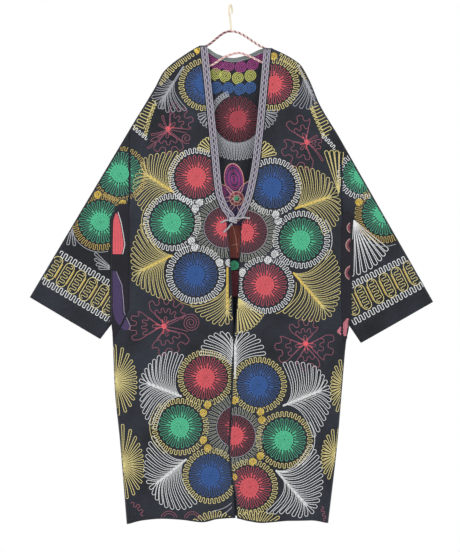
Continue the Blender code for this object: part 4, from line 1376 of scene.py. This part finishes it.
KNOT_PLACE, KNOT_DEPTH = (7.0, -557.0), 4.5
TIE_RADIUS = 2.6
TIE_OFFSET, TIE_STRAND, TIE_TWIST = 1.15, 1.45, 7.0     # a strand's place, radius and pitch
WRAPS = ((-18, -4.6), (-10, 0.0), (-2, 4.6))    # tilt in degrees and shift of each wrap of the knot
WRAP_HALF, WRAP_DEPTH, WRAP_RADIUS = 9.6, 2.6, 2.1
TIES = {        # each end of the tie, as x and z from the knot outwards
    "tie_end_left": [(-4.3, -557), (-14, -559), (-25, -564)],
    "tie_end_low": [(3.5, -566), (-4, -576), (-18, -589)],
    "tie_end_right": [(17.8, -554), (34, -551), (50, -553)],
}


def before_front(x, z, lift):
    """Depth coordinate of a point that lies in front of the fronts."""
    return -(float(body_depth(x, z, FRONT_FOLDS)) + lift)


for name, ends in TIES.items():
    lift = BAND_WALL / 2 + SEAM_GAP + TIE_RADIUS
    line = route([(x, before_front(x, z, lift), z) for x, z in ends], 90)
    tubes = [tube(helix(line, TIE_OFFSET, TIE_TWIST, phase), TIE_STRAND) for phase in (0, np.pi)]
    strand_piece(name + "_cord", tubes, silver_cord, [name])

x0, z0 = KNOT_PLACE
y0 = before_front(x0, z0, BAND_WALL / 2 + SEAM_GAP + KNOT_DEPTH)
turn = np.linspace(0, 2 * np.pi, 60)
tubes = []
for tilt, shift in WRAPS:
    lean = math.radians(tilt)
    wrap = np.stack([WRAP_HALF * np.cos(turn), -WRAP_DEPTH * np.sin(turn),
                     0 * turn + shift + 0.5 * np.sin(2 * turn)], -1)
    x = wrap[:, 0] * math.cos(lean) - wrap[:, 2] * math.sin(lean)
    z = wrap[:, 0] * math.sin(lean) + wrap[:, 2] * math.cos(lean)
    tubes.append(tube(np.stack([x0 + x, y0 + wrap[:, 1], z0 + z], -1), WRAP_RADIUS, 9))
strand_piece("tie_knot_wraps", tubes, silver_cord, ["tie_knot"])

print(len(WRAPS), "wraps and", len(TIES), "ends")

# %% [markdown]
# The hanger follows the same route as its CAD wires: two arms just under the shoulder folds, a bar
# that bows up in the middle, and the hook. Strands of pink, brown and cream wool wind about the
# arms and the bar.

# %% The hanger

WIRE_RADIUS, HOOK_RADIUS = 3.0, 2.8
HANGER_PEAK = (1.0, -66.0)
ARM_SPAN = {"left": (64, 153), "right": (86, 165)}
ARM_SEAT, ARM_TIP, ARM_LEVEL, BAR_JOIN = 1.35, (3.0, 9.0), (5.0, 0.2), 6.0
BAR_LINE = [(-150, -181), (-110, -174), (-48, -153), (-12, -131), (22, -122), (49, -131),
            (90, -150), (130, -163), (162, -171)]
CROOK_INSIDE, HOOK_TURN = 13.0, math.radians(75)
CROOK_ARC = (235, -15, 13)          # angles where the crook starts and ends, and how many points
HOOK_STEM = [(10, 0), (18, -1.5)]   # rise above the hanger's peak, and how far sideways
YARN_OFFSET, YARN_STRAND, YARN_TWIST = 1.5, 1.55, 12.0


def arm_route(side):
    """One shoulder of the hanger under the cloth's fold, and its bend to the bar."""
    sign = SIDES[side]
    seat = WALL / 2 + ARM_SEAT + WIRE_RADIUS
    near, tip = ARM_SPAN[side]
    rows = [(HANGER_PEAK[0] + sign * 0.25, 0, HANGER_PEAK[1]),
            (HANGER_PEAK[0] + sign * ARM_LEVEL[0], 0, HANGER_PEAK[1] - ARM_LEVEL[1])]
    for out in np.linspace(near, tip, 6):
        x = sign * out
        grade = float(top_height(x + 1) - top_height(x - 1)) / 2
        lean = math.hypot(1, grade)
        rows.append((x + seat * grade / lean, 0, float(top_height(x)) - seat / lean))
    end, before = (BAR_LINE[0], BAR_LINE[1]) if side == "left" else (BAR_LINE[-1], BAR_LINE[-2])
    toward = np.subtract(before, end) / np.hypot(*np.subtract(before, end))
    corner = (sign * (tip + ARM_TIP[0]), 0, rows[-1][2] - ARM_TIP[1])
    last = [(end[0] - toward[0] * step, 0, end[1] - toward[1] * step) for step in (BAR_JOIN, SEAM_GAP)]
    return rows + [corner] + last


YARN_STRANDS = {    # shades of the strands that wind about each part of the hanger
    "hanger_arm_left": ("brown", "pink", "brown"), "hanger_arm_right": ("pink", "brown", "cream"),
    "hanger_bar": ("pink", "cream", "pink"),
}
hanger_lines = {"hanger_bar": route([(x, 0, z) for x, z in BAR_LINE], 620)}
for side in SIDES:
    hanger_lines["hanger_arm_" + side] = route(arm_route(side), 420)
for node, line in hanger_lines.items():
    for k, shade in enumerate(YARN_STRANDS[node]):
        winding = helix(line, YARN_OFFSET, YARN_TWIST, k * 2 * np.pi / 3)
        name = f"{node}_strand_{k + 1}_{shade}"
        strand_piece(name, [tube(winding, YARN_STRAND, 8)], wool[shade], [node])

base = HANGER_PEAK[1] + WIRE_RADIUS + SEAM_GAP
radius = CROOK_INSIDE + HOOK_RADIUS
flat = [(0, base), *((a, base + rise) for rise, a in HOOK_STEM)]
flat += [(radius * math.cos(t), -CROOK_INSIDE + radius * math.sin(t))
         for t in np.radians(np.linspace(*CROOK_ARC))]
rows = [(a * math.cos(HOOK_TURN) + HANGER_PEAK[0] * (b / base) ** 2, a * math.sin(HOOK_TURN), b)
        for a, b in flat]
line = route(rows, 420)
place = np.linspace(0, 1, len(line))    # the turns of the wrapping, and a slow unevenness
thickness = HOOK_RADIUS - 0.25 + 0.2 * np.sin(place * len(line) * 0.9) + 0.12 * np.sin(place * 37)
strand_piece("hook_wrapping", [tube(line, thickness, 14)], cream_wrap, ["hanger_hook"])
print("hook", round(float(line[:, 2].max() - line[:, 2].min())), "mm tall")

# %% [markdown]


# %% [markdown]
# ## Stage and camera
# The stage is a pale floor far below the hem, an even white surround and soft lamps. The camera
# looks straight at the robe from 4 m, so both sides show as they hang.

# %% Stage and camera

FLOOR_LEVEL, FLOOR_RADIUS, FLOOR_SIDES = -1.66, 1400, 64
AIM = (0, 0, -0.7)      # the middle of the robe, in metres
CAMERA_PLACE, FOCAL_LENGTH, SENSOR_WIDTH = (-0.0013, -4.0, -0.702), 100.35, 36


def lamp(name, place, size, power):
    """A round soft lamp, turned to the middle of the robe."""
    light = bpy.data.lights.new(name, "AREA")
    light.shape, light.size, light.energy = "DISK", size, power
    piece = bpy.data.objects.new(name, light)
    bpy.context.scene.collection.objects.link(piece)
    piece.location = place
    direction = np.subtract(AIM, place)
    piece.rotation_euler = (math.atan2(math.hypot(direction[0], direction[1]), -direction[2]), 0,
                            math.atan2(-direction[0], direction[1]))
    return piece


floor_paint, tree, shader = new_material("pale_floor_paint")
shader.inputs["Base Color"].default_value = (0.86, 0.86, 0.86, 1)
shader.inputs["Roughness"].default_value = 0.9
turn = np.linspace(0, 2 * np.pi, FLOOR_SIDES, endpoint=False)
disc = np.stack([FLOOR_RADIUS * np.cos(turn), FLOOR_RADIUS * np.sin(turn), 0 * turn + FLOOR_LEVEL / MM], -1)
floor = mesh_object("floor", disc, np.arange(FLOOR_SIDES)[None, :], floor_paint)
bpy.context.scene.collection.objects.link(floor)

lamp("key_lamp", (-1.6, -3.2, 1.2), 1.2, 34)
lamp("fill_lamp", (2.2, -3.0, -0.4), 2.0, 8)
lamp("rear_lamp", (0.5, 3.2, 0.8), 1.6, 26)

world = bpy.context.scene.world or bpy.data.worlds.new("white surround")
bpy.context.scene.world = world
world.use_nodes = True
background = world.node_tree.nodes["Background"]
background.inputs["Color"].default_value = (1, 1, 1, 1)
background.inputs["Strength"].default_value = 1.0

camera = bpy.data.cameras.new("camera")
camera.sensor_width = SENSOR_WIDTH
camera.lens = FOCAL_LENGTH
view = bpy.data.objects.new("camera", camera)
bpy.context.scene.collection.objects.link(view)
view.location = CAMERA_PLACE
view.rotation_euler = (math.pi / 2, 0, 0)
bpy.context.scene.camera = view
bpy.context.scene.view_settings.view_transform = "Standard"     # a plain white stays white
print("camera", -CAMERA_PLACE[1], "m away")
